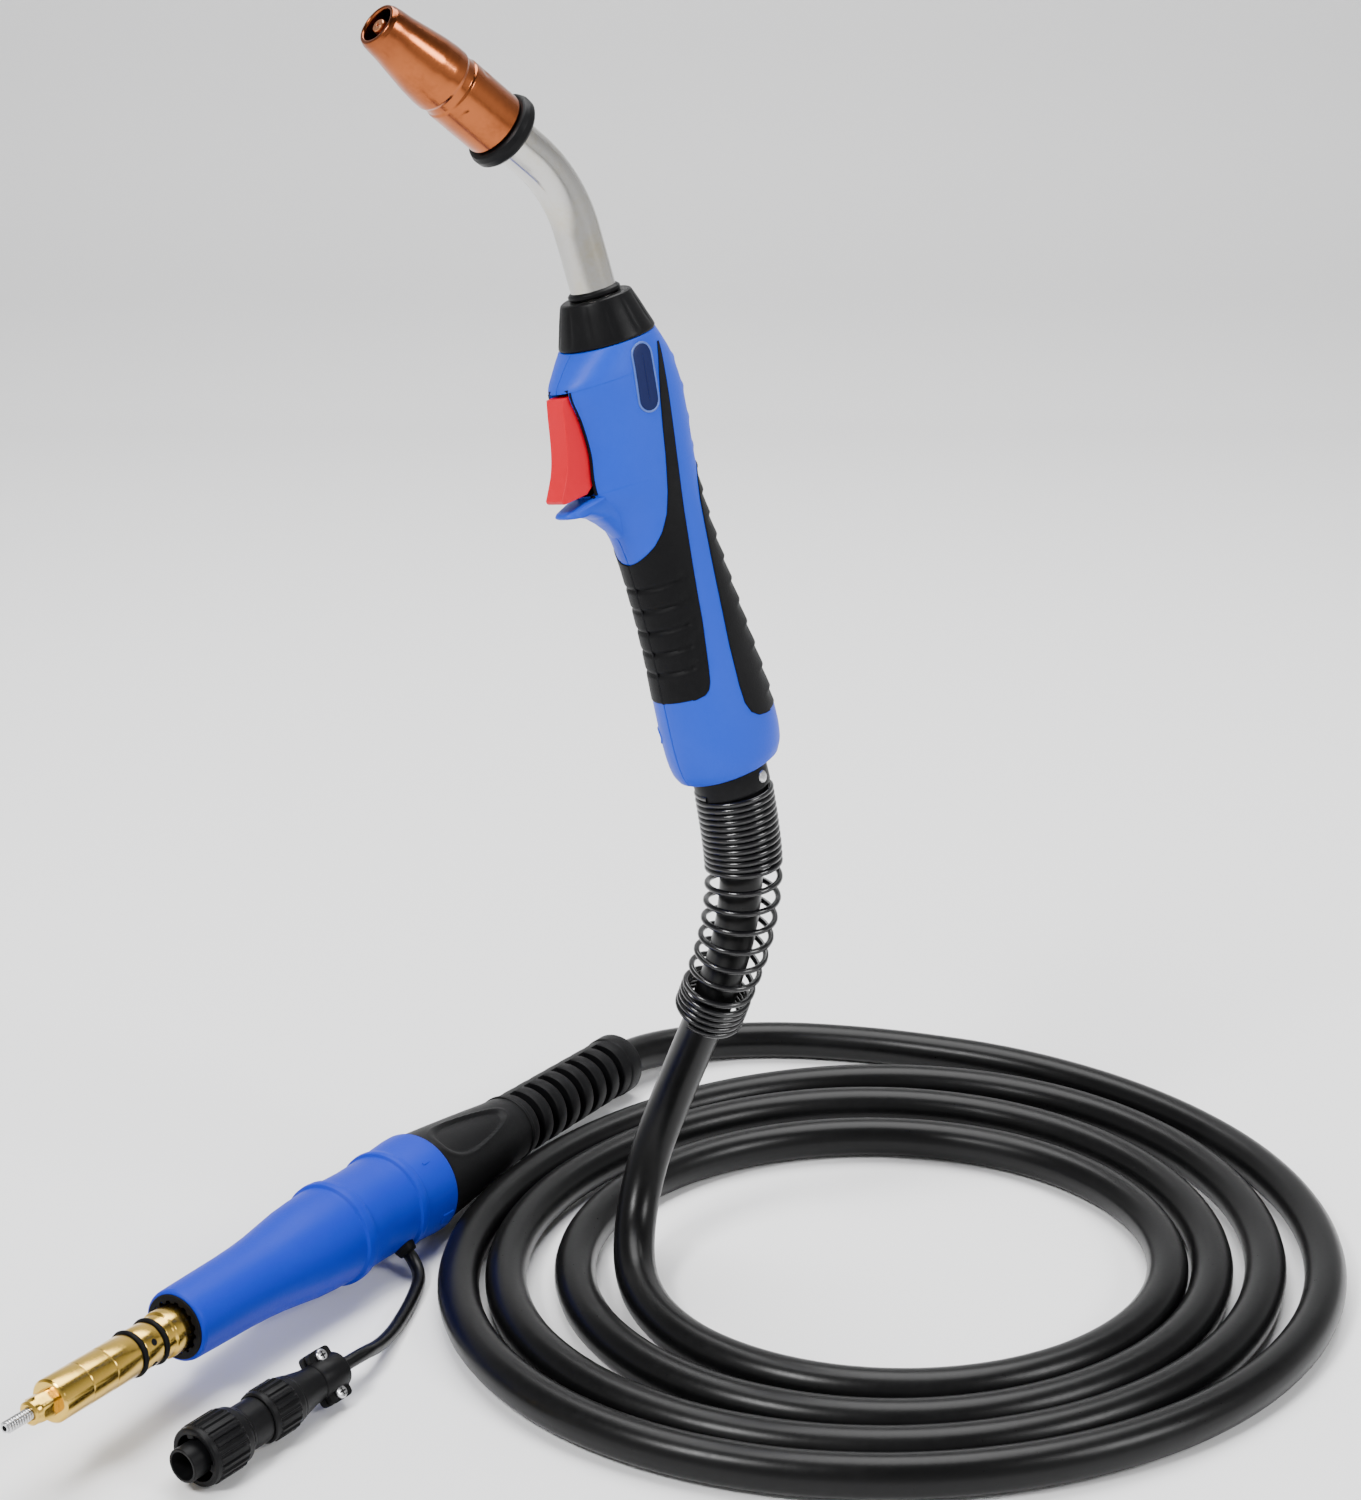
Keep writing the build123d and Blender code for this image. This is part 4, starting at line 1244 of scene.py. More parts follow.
    def build_trigger(self, shop: Workshop) -> None:
        """Red trigger lever with a curved face and a flared foot.

        Args:
            shop: maker of pieces.
        """
        face = smooth_path([(30.4, 0, -27.3), (32.0, 0, -33.0), (33.4, 0, -39.0), (35.2, 0, -45.5),
                            (38.0, 0, -52.0), (43.2, 0, -59.5)], 6)
        outline = [(p.x, p.z) for p in face]
        outline += [(42.6, -60.9), (31.5, -61.1), (23.6, -56.5), (22.2, -51.5), (21.4, -38.5), (21.4, -29.5),
                    (23.2, -27.5)]
        lever = Shape().extrude(rounded(outline, 1.0, 3), -4.4, 4.4, True)
        shop.mesh("trigger_lever", lever, HANDLE, Finishes.RED, ("trigger",), Body.TRIGGER, bevel=1.0)
        pin = [handle_point(31.0, 24.5, -7.2), handle_point(31.0, 24.5, 7.2)]
        shop.wire("trigger_hinge_pin", pin, 1.5, Finishes.STEEL, ("trigger_pin",))

    def build_badge(self, shop: Workshop) -> None:
        """Blank pill-shaped name plate with a raised rim.

        Args:
            shop: maker of pieces.
        """
        axis, centre, half, radius = radians(98), Vector((2.8, 29.2)), 7.6, 4.3
        along = Vector((cos(axis), -sin(axis)))
        across = Vector((sin(axis), cos(axis)))

        def ring(reach: float, count: int = 64) -> list[PAIR]:
            """Find (f, h) points round the pill.

            Args:
                reach: distance of the line from the middle segment.
                count: number of points.
            Returns:
                The points.
            """
            spots = []
            quarter = count // 4
            for step in range(count):
                part, t = divmod(step, quarter)
                t /= quarter
                if part in (0, 2):
                    turn = pi * (t - 0.5) + (pi if part else 0.0)
                    end = half if part == 0 else -half
                    spot = centre + along * (end + reach * cos(turn)) + across * (reach * sin(turn))
                else:
                    flip = 1.0 if part == 1 else -1.0
                    spot = centre + along * (half * flip * (1 - 2 * t)) + across * (reach * flip)
                spots.append((spot.x, spot.y))
            return spots

        def surface(f: float, h: float, lift: float) -> Vector:
            """Returns: the point of the handle above (f, h)."""
            return self.form.point(h, self.form.angle(h, f), 1.0, lift)

        rings = [[surface(f, h, lift) for f, h in ring(reach)]
                 for reach, lift in ((4.1, -0.6), (4.1, 0.25), (3.7, 0.34), (2.6, 0.38), (1.2, 0.39), (0.05, 0.39))]
        plate = Shape().grid(rings, False, True, True)
        shop.mesh("badge_pill", plate, HANDLE, Finishes.BADGE, ("badge_plate",), sharp=50)
        shop.wire("badge_rim", [HANDLE.at(*surface(f, h, 0.12)) for f, h in ring(radius)], 0.42, Finishes.RIM,
                  loop=True, sides=4)

    def build_screws(self, shop: Workshop) -> None:
        """Cross-head screws in their wells on the far side.

        Args:
            shop: maker of pieces.
        """
        for number, (f, h) in enumerate(self.screws):
            depth = min(-self.form.point(y, self.form.angle(y, x), -1.0).y for x, y in circle(2.9, 36, f, h))
            rows = []
            for reach, lift in ((3.3, -0.5), (3.2, 0.1), (2.95, 0.42), (2.6, 0.36), (2.35, 0.0)):
                rows.append([self.form.point(y, self.form.angle(y, x), -1.0, lift)
                             for x, y in circle(reach, 36, f, h)])
            for reach, s in ((2.3, 1.2 - depth), (2.3, 2.4 - depth), (0.02, 2.4 - depth)):
                rows.append([Vector((x, s, -y)) for x, y in circle(reach, 36, f, h)])
            finish = Finishes.RUBBER if number in (2, 3) else Finishes.BLUE
            shop.mesh(f"screw_well_{number}", Shape().grid(rows, False, True), HANDLE, finish)
            place = Basis(HANDLE.at(f, 1.6 - depth, -h), FRONT, SIDE * -1)
            cup = [(0.02, -0.8), (2.2, -0.8), (2.2, -0.25), (1.9, -0.08), (1.2, 0.0), (0.02, 0.02)]
            head = Shape().lathe(rounded(cup, 0.2, 2, False), 40, closed=False)
            nodes = ("handle_screws",) if number == 0 else ()
            shop.mesh(f"screw_head_{number}", head, place, Finishes.STEEL, nodes)
            # The near-black cross is painted shade in the screw head's recess.
            cross = Shape().extrude(rectangle(1.3, 0.25), -0.3, 0.06)
            cross.extrude(rectangle(0.25, 1.3), -0.3, 0.07)
            shop.mesh(f"screw_cross_{number}", cross, place, Finishes.SEAM_AND_RECESS_SHADE)

    def build_lock_nut(self, shop: Workshop) -> None:
        """Conical black nut that locks the neck, with shallow finger flutes.

        Args:
            shop: maker of pieces.
        """
        outline = [(8.35, 0), (11.9, 0), (12.6, -0.4), (13.0, -1.2), (14.4, -5.2), (15.9, -10.0), (17.1, -13.6),
                   (17.3, -14.6), (17.1, -15.2), (14.0, -15.2), (14.0, -9.0), (8.35, -6.0)]

        def flute(angle: float, radius: float, station: float) -> float:
            """Returns: the radius with shallow flutes."""
            depth = 0.35 * step_up(-station, 2.0, 4.0) * (1 - step_up(-station, 12.0, 14.0))
            return radius - depth * max(0.0, cos(angle * 12)) ** 6 if radius > 12.0 else radius

        fine = rounded(outline[::-1], 0.5, 3)
        shop.mesh("collar_nut", Shape().lathe(fine, 144, flute), HANDLE, Finishes.BLACK, ("handle_lock_nut",),
                  Body.LOCK_NUT)


# (station, reach) rows of the edges of the grips; a reach is negative towards the back.
FRONT_BACK_EDGE: tuple[PAIR, ...] = (
    (20.0, -8.6), (22, -8.4), (30, -7.0), (38, -5.6), (48, -3.8), (58, -2.1), (78, 1.1), (98, 3.8), (118, 6.3),
    (134, 9.1), (139.5, 10.3), (141.8, 11.3), (143.2, 12.8), (144.0, 16.0))
FRONT_FRONT_EDGE: tuple[PAIR, ...] = (
    (20.0, -8.0), (22, -7.0), (30, -3.9), (38, -1.4), (48, 0.9), (58, 2.8), (70, 5.6), (77, 7.9), (83, 11.0),
    (87, 14.0), (90, 17.0), (92.5, 19.2))
FRONT_SHOULDER = FRONT_FRONT_EDGE[-1][0]
REAR_FRONT_EDGE: tuple[PAIR, ...] = (
    (66.4, -17.4), (68, -14.0), (72, -11.6), (78, -9.6), (88, -7.9), (98, -6.5), (118, -3.9), (130, -2.2),
    (145, -0.8), (152, -0.9), (156, -2.6), (158.6, -6.0), (159.8, -10.5), (160.2, -13.5))


# --------------------------------------------------------------------------- spring
@dataclass
class CableSpring:
    """Black band, rivet and wound wire spring below the handle.

    Args:
        wire: radius of the wire.
        radius: radius of the winding's middle line.
        runs: (length, turns) of each part of the spring.
    """

    wire: float = 1.14
    radius: float = 13.55
    runs: tuple[PAIR, ...] = ((30.0, 13.0), (56.0, 7.2), (11.5, 4.8))

    def build(self, shop: Workshop) -> None:
        """Build the band, the rivet and the spring.

        Args:
            shop: maker of pieces.
        """
        band = [(9.4, -160.5), (13.6, -160.5), (13.6, -178.0), (14.0, -178.2), (14.1, -180.0), (13.9, -185.6),
                (13.4, -186.4), (11.6, -186.6), (11.6, -192), (9.4, -192)]
        shop.mesh("spring_band", Shape().lathe(rounded(band[::-1], 0.4), 80), HANDLE, Finishes.BLACK,
                  ("spring_holder", "spigot_ring"))
        axis = (SIDE * cos(radians(12)) - FRONT * sin(radians(12))).normalized()
        seat = Basis(handle_point(182.0) + axis * 13.5, UP, axis)
        cap = [(0.02, -0.5), (2.3, -0.5), (2.3, 0.6), (2.0, 0.95), (1.2, 1.15), (0.02, 1.2)]
        shop.mesh("band_rivet", Shape().lathe(rounded(cap, 0.3, 3, False), 40, closed=False), seat,
                  Finishes.STEEL, ("holder_rivet",))
        shop.wire("cable_spring", self.winding(), self.wire, Finishes.SPRING, ("strain_relief_spring",), sides=4)

    def winding(self) -> list[Vector]:
        """Returns: the points of the wire."""
        route = [handle_point(185.8), *RISER_ROUTE[2:5], (12.1, 13.0, -182.0), (7.5, 18.0, -196.0)]
        line = smooth_path(route, 40)
        marks = [0.0]
        for a, b in zip(line, line[1:]):
            marks.append(marks[-1] + (b - a).length)
        points: list[Vector] = []
        turned, station, index = 0.0, 0.0, 0
        tangent = (line[1] - line[0]).normalized()
        across = (FRONT - tangent * FRONT.dot(tangent)).normalized()
        for length, turns in self.runs:
            steps = int(turns * 40)
            for _ in range(steps):
                while index < len(marks) - 2 and marks[index + 1] < station:
                    index += 1
                t = (station - marks[index]) / (marks[index + 1] - marks[index])
                centre = line[index].lerp(line[index + 1], t)
                tangent = (line[index + 1] - line[index]).normalized()
                across = (across - tangent * across.dot(tangent)).normalized()
                other = tangent.cross(across)
                reach = self.radius - 0.9 * step_up(station, 20.0, 90.0)
                points.append(centre + (across * cos(turned) + other * sin(turned)) * reach)
                station += length / steps
                turned += 2 * pi / 40
        return points


# --------------------------------------------------------------------------- rear connector
@dataclass
class RearConnector:
    """Power pin, boot, housing and strain relief at the cable's end.

    Args:
        pin: radius of the power pin.
        rings: stations of its O-rings.
        boot_start: station of the boot's mouth.
        boot_end: station of its rear end.
        housing_end: station where the strain relief begins.
        end: station where the cable leaves.
    """

    pin: float = 8.0
    rings: PAIR = (40.0, 51.0)
    boot_start: float = 64.5
    boot_end: float = 209.5
    housing_end: float = 275.0
    end: float = 361.3

    def build(self, shop: Workshop) -> list[bpy.types.Object]:
        """Build the connector.

        Args:
            shop: maker of pieces.
        Returns:
            Its pieces.
        """
        pieces = self.build_pin(shop)
        pieces += self.build_boot(shop)
        pieces += self.build_housing(shop)
        pieces += self.build_relief(shop)
        return pieces

    def build_pin(self, shop: Workshop) -> list[bpy.types.Object]:
        """Brass pin with rings and gas holes, the nut and the spiral liner in front of it.

        Args:
            shop: maker of pieces.
        Returns:
            The pieces.
        """
        outline: list[PAIR] = [(2.4, 0), (7.2, 0), (self.pin, 0.8)]
        for station in (14.0, 26.0):
            outline += [(self.pin, station - 0.3), (self.pin - 0.12, station), (self.pin, station + 0.3)]
        for station in self.rings:
            outline += [(self.pin, station - 1.4), (6.9, station - 1.3), (6.9, station + 1.3),
                        (self.pin, station + 1.4)]
        outline += [(self.pin, 55.6), (8.9, 56.2), (8.9, 61.0), (8.5, 61.4), (8.5, 72), (7.4, 72), (7.4, 112),
                    (2.4, 112)]
        pieces = [shop.mesh("brass_power_pin", Shape().lathe(rounded(outline, 0.25, 2), 80), REAR, Finishes.BRASS,
                            ("power_pin",))]
        rings = Shape()
        for station in self.rings:
            rings.lathe(circle(0.98, 12, 7.86, station), 72)
        pieces.append(shop.mesh("pin_seals", rings, REAR, Finishes.RUBBER, ("pin_o_rings",)))
        for port, degrees in enumerate((148, 212, 330, 30)):
            out = REAR.spoke(degrees)
            place = Basis(REAR.at(0, 0, 45.5) + out * 7.6, RUN, out)
            hole = [(0.02, 0.44), (1.0, 0.44), (1.2, 0.5), (1.3, 0.36), (1.3, -0.2), (0.02, -0.2)]
            # Near-black cups in the holes: painted shade inside the pin's gas holes.
            pieces.append(shop.mesh(f"pin_gas_hole_{port}", Shape().lathe(hole[::-1], 28), place, Finishes.SEAM_AND_RECESS_SHADE))

        def hexagon(angle: float, radius: float, station: float) -> float:
            """Find the radius of a hexagon with turned corners.

            Args:
                angle: angle round the section, in radians.
                radius: radius there.
                station: place along the axis.
            Returns:
                Millimetres.
            """
            if radius < 4.0 or station < -7.2:
                return radius
            return min(radius, 4.55 / cos((angle + pi / 6) % (pi / 3) - pi / 6))

        nut = [(2.35, -0.05), (2.35, -9.6), (3.4, -9.9), (4.3, -9.3), (4.5, -7.4), (4.7, -7.1), (5.2, -6.6),
               (5.2, -0.7), (4.9, -0.05)]
        pieces.append(shop.mesh("liner_lock_nut", Shape().lathe(nut, 96, hexagon), REAR, Finishes.BRASS,
                                ("liner_nut",)))
        core = [(1.0, -21), (1.6, -21), (1.6, -2), (1.0, -2)]
        pieces.append(shop.mesh("liner_core", Shape().lathe(core, 32), REAR, Finishes.STEEL, ("liner_end",)))
        turns, steps, pitch = 11, 20, 1.15
        coil = [REAR.at(x, y, -20.4 + pitch * (turn + step / steps))
                for turn in range(turns) for step, (x, y) in enumerate(circle(1.8, steps))]
        pieces.append(shop.wire("liner_winding", coil, 0.5, Finishes.STEEL, sides=3))
        return pieces

    def build_boot(self, shop: Workshop) -> list[bpy.types.Object]:
        """Blue boot with a toothed mouth, two bands, a mould mark and a small lug.

        Args:
            shop: maker of pieces.
        Returns:
            The pieces.
        """
        outline = [(9.7, self.boot_start), (12.7, self.boot_start - 0.3), (13.3, self.boot_start + 0.3),
                   (13.6, self.boot_start + 1.4), (14.0, 80), (14.4, 96), (14.9, 106), (15.7, 115), (17.0, 124.5),
                   (18.3, 134), (19.0, 143), (19.3, 149.5), (19.4, 151.6), (20.6, 152.3), (20.8, 154.6),
                   (20.6, 156.9),
                   (19.4, 157.7), (19.3, 172), (19.4, 186.0), (20.6, 186.6), (20.8, 188.4), (20.6, 190.2),
                   (19.8, 190.9), (20.4, 198), (20.9, 205), (20.9, self.boot_end - 0.8),
                   (20.4, self.boot_end), (18.8, self.boot_end), (18.8, 156), (9.7, 108)]

        def hollow(angle: float, radius: float, station: float) -> float:
            """Find the radius with gentle finger hollows on both flanks.

            Args:
                angle: angle round the section, in radians.
                radius: radius there.
                station: place along the axis.
            Returns:
                Millimetres.
            """
            if radius < 15.0:
                return radius
            flank = cos(angle) ** 2
            return radius - 0.7 * flank * exp(-((station - 172.0) / 8.0) ** 2)

        dense = divided(rounded(outline, 0.6, 3), lambda here, ahead: 3.0)
        pieces = [shop.mesh("blue_boot", Shape().lathe(dense, 96, hollow), REAR, Finishes.BOOT, ("rear_boot",))]

        def teeth(angle: float, radius: float, station: float) -> float:
            """Returns: the radius with square inner teeth."""
            return radius + 0.9 * (1 if sin(angle * 16) > 0 else 0) if radius < 10.5 else radius

        mouth = [(9.2, 63.6), (12.0, 63.6), (12.3, 64.0), (12.3, 70), (9.2, 70)]
        # The teeth are painted near-black: painted shade inside the boot's mouth.
        pieces.append(shop.mesh("boot_mouth_teeth", Shape().lathe(mouth, 128, teeth), REAR, Finishes.SEAM_AND_RECESS_SHADE))
        mark = Shape().extrude(rectangle(0.6, 3.2), 0.0, 0.35)
        out = REAR.spoke(128)
        place = Basis(REAR.at(0, 0, 200.0) + out * 20.3, out.cross(RUN), out)
        pieces.append(shop.mesh("boot_tick_mark", mark, place, Finishes.BOOT, bevel=0.25))
        lug = Shape().extrude(rectangle(2.4, 3.4), -1.4, 0.9)
        out = REAR.spoke(200)
        place = Basis(REAR.at(0, 0, 203.5) + out * 20.4, out.cross(RUN), out)
        pieces.append(shop.mesh("boot_lug", lug, place, Finishes.BOOT, bevel=0.7))
        gland = [(2.65, -1.6), (4.35, -1.6), (4.35, 0.8), (3.9, 2.6), (3.5, 3.4), (2.65, 3.4)]
        place = Basis(LEAD_ROOT + LEAD_OUT * 18.9, RUN, LEAD_OUT)
        pieces.append(shop.mesh("lead_gland", Shape().lathe(rounded(gland, 0.3), 40), place, Finishes.RUBBER,
                                ("lead_grommet",)))
        return pieces

    def build_housing(self, shop: Workshop) -> list[bpy.types.Object]:
        """Black rear housing with a sunken thumb panel on each face.

        Args:
            shop: maker of pieces.
        Returns:
            The pieces.
        """
        outline = [(9.5, 157), (18.5, 157), (18.5, self.boot_end + 0.2), (19.4, self.boot_end + 0.4),
                   (19.5, self.boot_end + 2.0), (19.0, 218), (18.2, 227), (17.0, 240), (15.6, 254), (14.5, 264),
                   (13.9, 271), (13.6, self.housing_end), (8.1, self.housing_end), (8.1, 262), (15.5, 224),
                   (15.5, 184), (9.5, 178)]

        def panel(angle: float, radius: float, station: float) -> float:
            """Find the radius with the panels pressed in.

            Args:
                angle: angle round the section, in radians.
                radius: radius there.
                station: place along the axis.
            Returns:
                Millimetres.
            """
            if station < self.boot_end + 1.5 or radius < 13.0 or station > 274:
                return radius
            off = abs((angle - radians(115) + pi / 2) % pi - pi / 2) * radius
            half = 10.5 - 5.5 * step_up(station, 216, 268)
            across = off / half
            along = (station - 238.0) / 24.0
            inside = (abs(across) ** 2.6 + abs(along) ** 2.6) ** (1 / 2.6)
            return radius - 1.3 * (1 - step_up(inside, 0.86, 1.0)) + 0.25 * exp(-((inside - 1.05) / 0.05) ** 2)

        def pitch(here: PAIR, ahead: PAIR) -> float:
            """Returns: a fine pitch on the outside of the panels and a coarse one elsewhere."""
            return 0.7 if min(here[1], ahead[1]) > 208 and min(here[0], ahead[0]) > 12 else 8.0

        dense = divided(rounded(outline, 0.5, 2), pitch)
        body = shop.mesh("black_housing", Shape().lathe(dense, 180, panel), REAR, Finishes.HOUSING,
                         ("rear_housing",))
        lip = [(13.2, self.housing_end - 2.4), (14.2, self.housing_end - 2.2), (14.3, self.housing_end - 0.4),
               (13.2, self.housing_end)]
        ring = shop.mesh("housing_lip", Shape().lathe(rounded(lip, 0.4), 72), REAR, Finishes.HOUSING)
        return [body, ring]

    def build_relief(self, shop: Workshop) -> list[bpy.types.Object]:
        """Slotted rubber strain relief with ring ribs, two spines and an end flange.

        Args:
            shop: maker of pieces.
        Returns:
            The pieces.
        """
        spine = radians(70)
        slots = [(self.housing_end + 4.0 + 10.6 * i, self.housing_end + 8.4 + 10.6 * i) for i in range(7)]
        outline: list[PAIR] = [(8.1, self.housing_end + 0.1), (13.5, self.housing_end + 0.1)]
        taper = [(self.housing_end, 13.6), (352, 13.0)]
        for low, high in slots:
            for station in (low - 0.7, low - 0.25, low, low + 0.12, high - 0.12, high, high + 0.25, high + 0.7):
                outline.append((straight_between(taper, station), station))
        outline += [(13.0, 352.6), (13.4, 353.2), (13.5, 354), (13.5, self.end - 1.2), (13.0, self.end - 0.2),
                    (12.4, self.end), (8.1, self.end)]

        def slotted(angle: float, radius: float, station: float) -> float:
            """Find the radius with the slots cut in between the spines.

            Args:
                angle: angle round the section, in radians.
                radius: radius there.
                station: place along the axis.
            Returns:
                Millimetres.
            """
            if radius < 12.0:
                return radius
            if abs(radius * sin(angle - spine)) < 2.4:
                return radius
            for low, high in slots:
                if low < station < high:
                    return 9.9
                near = min(abs(station - low), abs(station - high))
                if near < 0.5:
                    return radius - 0.35 * (1 - near / 0.5)
            return radius

        body = shop.mesh("slotted_relief", Shape().lathe(outline, 180, slotted), REAR, Finishes.RUBBER,
                         ("rear_strain_relief",), sharp=30)
        return [body]


# --------------------------------------------------------------------------- control plug
@dataclass
class ControlPlug:
    """Round control plug with two knurled rings and a screwed cable clamp.

    Args:
        ring: radius of the coupling ring.
        back: radius of the rear ring.
        ear: distance of each clamp screw from the axis.
    """

    ring: float = 11.3
    back: float = 10.0
    ear: float = 7.3

    def build(self, shop: Workshop) -> list[bpy.types.Object]:
        """Build the plug.

        Args:
            shop: maker of pieces.
        Returns:
            Its pieces.
        """
        pieces = []
        tube = [(5.2, 0.0), (6.1, 0), (6.3, 0.3), (6.3, 19), (8.4, 20), (8.4, 25.4), (5.2, 25.4)]
        pieces.append(shop.mesh("plug_sleeve", Shape().lathe(rounded(tube, 0.2), 64), PLUG, Finishes.BLACK,
                                ("plug_barrel",)))
        disc = [(0.02, 8), (5.15, 8), (5.15, 25), (0.02, 25)]
        pieces.append(shop.mesh("plug_core", Shape().lathe(disc, 48), PLUG, Finishes.HOUSING, ("plug_insert",)))
        pins = Shape()
        for turn in range(4):
            x, y = 2.7 * cos(turn * pi / 2), 2.7 * sin(turn * pi / 2)
            pins.extrude(circle(0.9, 16, x, y), 7.7, 24.0)
        pieces.append(shop.mesh("plug_pins", pins, PLUG, Finishes.BRASS, ("plug_contacts",)))
        pieces.append(self.build_ring(shop, "plug_coupling", 6.0, 25.0, self.ring, 24, "coupling_ring",
                                      Body.PLUG_RING))
        body = [(5.2, 25.5), (8.9, 25.5), (9.1, 26.2), (8.5, 27.2), (8.5, 35.9), (5.2, 35.9)]
        pieces.append(shop.mesh("plug_middle", Shape().lathe(rounded(body, 0.4), 72), PLUG, Finishes.BLACK,
                                ("plug_body",)))
        pieces.append(self.build_ring(shop, "plug_back_ring", 36.0, 52.0, self.back, 20, "backshell_ring",
                                      Body.ROOT))
        pieces += self.build_clamp(shop)
        return pieces

    def build_ring(self, shop: Workshop, name: str, start: float, end: float, radius: float, ribs: int,
                   node: str, body: Body) -> bpy.types.Object:
        """A knurled ring.

        Args:
            shop: maker of pieces.
            name: name of the piece.
            start: first station.
            end: last station.
            radius: outer radius.
            ribs: number of ribs.
            node: CAD node that it stands for.
            body: body that it rides on.
        Returns:
            The piece.
        """
        inner = 8.6 if body is Body.PLUG_RING else 8.0
        outline = [(inner, start), (radius - 1.0, start), (radius - 0.5, start + 0.5), (radius - 0.45, start + 2.2),
                   (radius, start + 2.8), (radius, end - 4.0), (radius - 0.6, end - 3.2),
                   (radius - 0.9, end - 1.0), (radius - 1.4, end), (inner, end)]

        def rib(angle: float, reach: float, station: float) -> float:
            """Find the radius between the grip ribs.

            Args:
                angle: angle round the section, in radians.
                reach: radius there.
                station: place along the axis.
            Returns:
                Millimetres.
            """
            if reach < radius - 0.2:
                return reach
            return reach - 0.75 * (1 - step_up(cos(angle * ribs), -0.25, 0.35))

        shape = Shape().lathe(rounded(outline, 0.3, 2), ribs * 12, rib)
        if body is Body.PLUG_RING:
            for degrees in (20, 140, 260):
                angle = radians(degrees)
                corners = [(6.9, -1.5), (8.8, -1.5), (8.8, 1.5), (6.9, 1.5)]
                lug = [(x * cos(angle) - y * sin(angle), x * sin(angle) + y * cos(angle)) for x, y in corners]
                shape.extrude(lug, start + 0.6, start + 2.6)
        return shop.mesh(name, shape, PLUG, Finishes.BLACK, (node,), body)

    def build_clamp(self, shop: Workshop) -> list[bpy.types.Object]:
        """The cone, the two halves of the clamp and their screws.

        Args:
            shop: maker of pieces.
        Returns:
            The pieces.
        """
        cone = [(2.7, 50), (8.6, 50), (8.8, 52.2), (8.2, 54), (7.0, 60), (6.5, 64), (6.4, 77), (6.1, 77.0),
                (2.7, 77.0)]
        pieces = [shop.mesh("clamp_cone", Shape().lathe(rounded(cone, 0.5), 64), PLUG, Finishes.BLACK,
                            ("clamp_body",))]
        corners = [(-9.9, 65.0), (9.9, 65.0), (9.9, 76.4), (-9.9, 76.4)]
        ears = Shape().extrude(rounded(corners, 2.2, 4), -3.6, -0.3, True)
        pieces.append(shop.mesh("clamp_ears", ears, PLUG, Finishes.BLACK, bevel=0.5))
        ridge = []
        for station, height in ((64.4, 0.0), (64.6, 0.5), (65.2, 0.8), (76.2, 0.8), (76.8, 0.5), (77.0, 0.0)):
            row = []
            for step in range(25):
                angle = pi * step / 24
                reach = 6.0 + height
                row.append(Vector((reach * cos(angle), max(0.2, reach * sin(angle) + 0.2), station)))
            ridge.append([Vector((-6.4, 0.2, station)), *row[::-1], Vector((6.4, 0.2, station))])
        saddle = Shape().grid(ridge)
        plate = rounded([(-9.9, 65.6), (9.9, 65.6), (9.9, 75.8), (-9.9, 75.8)], 2.0, 4)
        saddle.extrude(plate, 0.2, 2.6, True)
        pieces.append(shop.mesh("clamp_bridge", saddle, PLUG, Finishes.BLACK, ("clamp_saddle",), bevel=0.3))
        for label, side in HALVES:
            place = Basis(PLUG.at(side * self.ear, 2.6, 70.7), PLUG.x, PLUG.y)
            head = [(0.02, 0.0), (2.4, 0.0), (2.4, 0.9), (2.0, 1.4), (1.0, 1.6), (0.02, 1.6)]
            shape = Shape().lathe(rounded(head, 0.2, 2, False), 40, closed=False)
            nodes = ("clamp_screws",) if label == "left" else ()
            pieces.append(shop.mesh(f"clamp_screw_{label}", shape, place, Finishes.STEEL, nodes))
            # The near-black cross is painted shade in the screw head's recess.
            cross = Shape().extrude(rectangle(1.4, 0.28), 1.2, 1.64)
            cross.extrude(rectangle(0.28, 1.4), 1.2, 1.65)
            pieces.append(shop.mesh(f"clamp_cross_{label}", cross, place, Finishes.SEAM_AND_RECESS_SHADE))
        return pieces


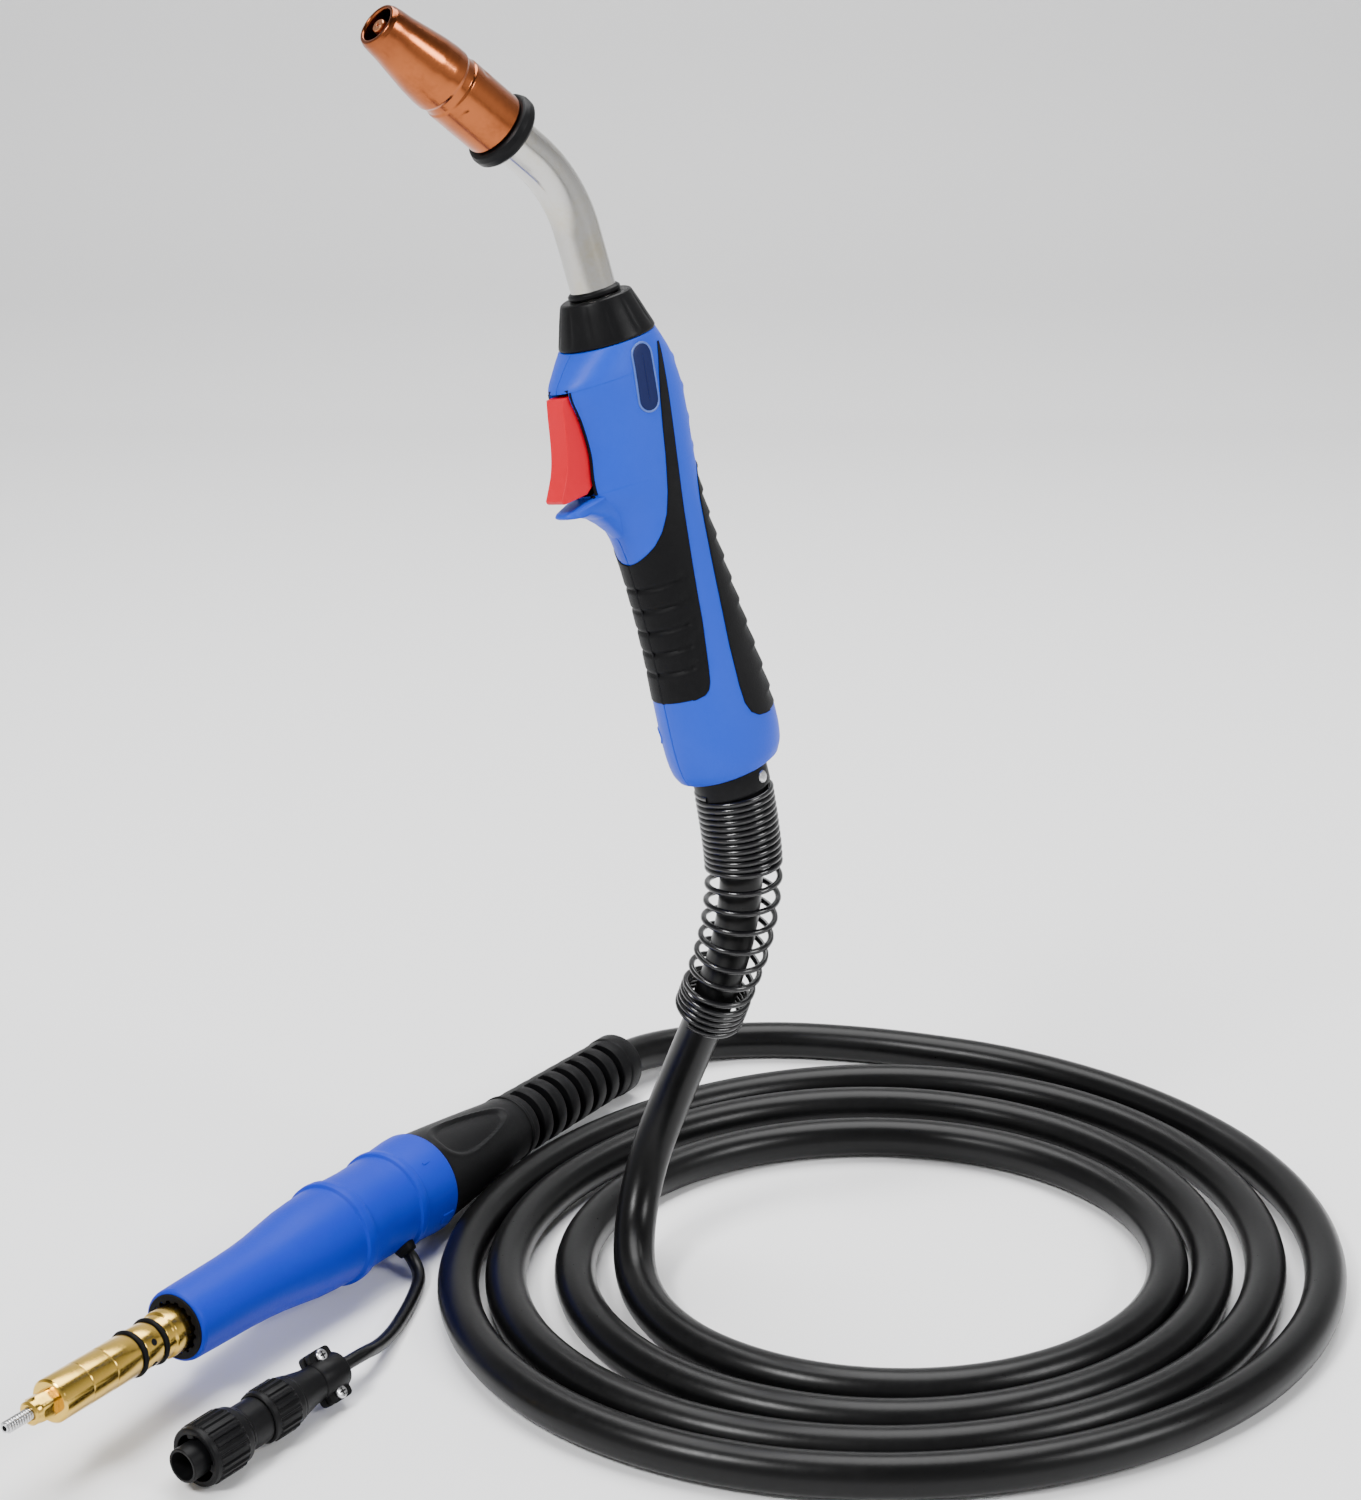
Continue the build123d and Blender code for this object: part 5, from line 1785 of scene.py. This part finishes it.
# --------------------------------------------------------------------------- studio
@dataclass
class Studio:
    """Camera, lights and floor.

    Args:
        eye: camera position in metres.
        pitch: how far the camera looks down, in degrees.
        lens: focal length on a 36 mm sensor.
        sky: strength of the white surroundings.
    """

    eye: tuple[float, float, float] = (0.00316, -0.953, 0.254)
    pitch: float = 18.7
    lens: float = 66.48
    sky: float = 0.6

    def place_camera(self) -> None:
        """Put the camera where the torch is seen from its badge side."""
        data = bpy.data.cameras.new("studio_camera")
        data.lens = self.lens
        data.sensor_width = 36.0
        camera = bpy.data.objects.new("studio_camera", data)
        camera.location = self.eye
        camera.rotation_euler = (radians(90.0 - self.pitch), 0.0, 0.0)
        bpy.context.scene.collection.objects.link(camera)
        bpy.context.scene.camera = camera
        LOG.info("camera at %s", self.eye)

    def place_floor(self) -> None:
        """Pale paper sweep under the torch."""
        depth = [(-2.2, 0.0), (1.6, 0.0), (2.1, 0.08), (2.45, 0.4), (2.55, 0.9), (2.55, 2.6)]
        rows = []
        for y, z in rounded(depth, 0.5, 6, False):
            rows.append([Vector((x * 1000, y * 1000, z * 1000 + FLOOR)) for x in (-3.0, -1.0, 1.0, 3.0)])
        shape = Shape().grid(rows, flip=True)
        data = bpy.data.meshes.new("paper_sweep")
        data.from_pydata([tuple(p * MM) for p in shape.points], [], shape.faces)
        data.shade_smooth()
        floor = bpy.data.objects.new("paper_sweep", data)
        bpy.context.scene.collection.objects.link(floor)
        data.materials.append(Finishes.STAGE.material())
        floor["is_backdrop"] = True

    def place_light(self, name: str, spot: POINT, aim: POINT, size: float, power: float) -> None:
        """Add a soft lamp that looks at a point.

        Args:
            name: name of the lamp.
            spot: where it hangs, in metres.
            aim: the point that it looks at, in metres.
            size: its width in metres.
            power: its power in watts.
        """
        data = bpy.data.lights.new(name, "AREA")
        data.size = size
        data.energy = power
        lamp = bpy.data.objects.new(name, data)
        lamp.location = spot
        lamp.rotation_euler = (Vector(aim) - Vector(spot)).to_track_quat("-Z", "Y").to_euler()
        bpy.context.scene.collection.objects.link(lamp)

    def build(self) -> None:
        """Build floor, lamps and surroundings."""
        self.place_floor()
        aim = (0.02, 0.0, -0.12)
        self.place_light("key_lamp", (-0.9, -1.0, 1.3), aim, 0.45, 36.0)
        self.place_light("fill_lamp", (1.3, -0.7, 0.8), aim, 0.5, 16.0)
        self.place_light("top_lamp", (0.1, 0.6, 1.6), aim, 1.5, 62.0)
        world = bpy.data.worlds.new("studio_world")
        graph = Graph(world)
        place = graph.out(graph.add("ShaderNodeTexCoord"), "Generated")
        height = graph.out(graph.add("ShaderNodeSeparateXYZ", None, {0: place}), "Z")
        levels = graph.add("ShaderNodeMapRange", None, {
            "Value": height, "From Min": 0.12, "From Max": 0.75,
            "To Min": self.sky * 1.5, "To Max": self.sky * 0.1})
        back = graph.add("ShaderNodeBackground", None, {
            "Color": (1.0, 1.0, 1.0, 1.0), "Strength": graph.out(levels, "Result")})
        graph.add("ShaderNodeOutputWorld", None, {0: graph.out(back)})
        bpy.context.scene.world = world


INNER_FINISH: dict[str, Finish] = {
    "neck_conductor": Finishes.TIP, "neck_connector_block": Finishes.BRASS, "rear_cable_ferrule": Finishes.BRASS,
    "wire_liner": Finishes.STEEL, "switch_terminals": Finishes.STEEL, "neck_insulation": Finishes.BLACK,
    "switch_body": Finishes.BLACK, "switch_plunger": Finishes.RED, "switch_leads": Finishes.CABLE,
    "cable_in_handle": Finishes.CABLE}


def dress_inner_nodes() -> None:
    """Give the CAD nodes that stay inside the torch their finish."""
    for name, finish in INNER_FINISH.items():
        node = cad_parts[name]
        node.data.materials.clear()
        node.data.materials.append(finish.material())
        LOG.info("inner node %s dressed", name)


def corners() -> list[list[float]]:
    """Returns: the shown object's lowest and highest corner as plain lists."""
    return [[float(x) for x in corner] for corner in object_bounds()]


def main() -> None:
    """Build the whole scene."""
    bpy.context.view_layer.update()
    studio = Studio()
    studio.place_camera()
    shop = Workshop()
    cords = Cords()
    cable, lead = cords.build(shop)
    TorchHead().build(shop)
    Handle().build(shop)
    CableSpring().build(shop)
    rear = RearConnector().build(shop)
    plug = ControlPlug().build(shop)
    cords.declare()
    dress_inner_nodes()
    studio.build()
    LOG.info("%d pieces", shop.count)


if __name__ == "__main__":
    main()
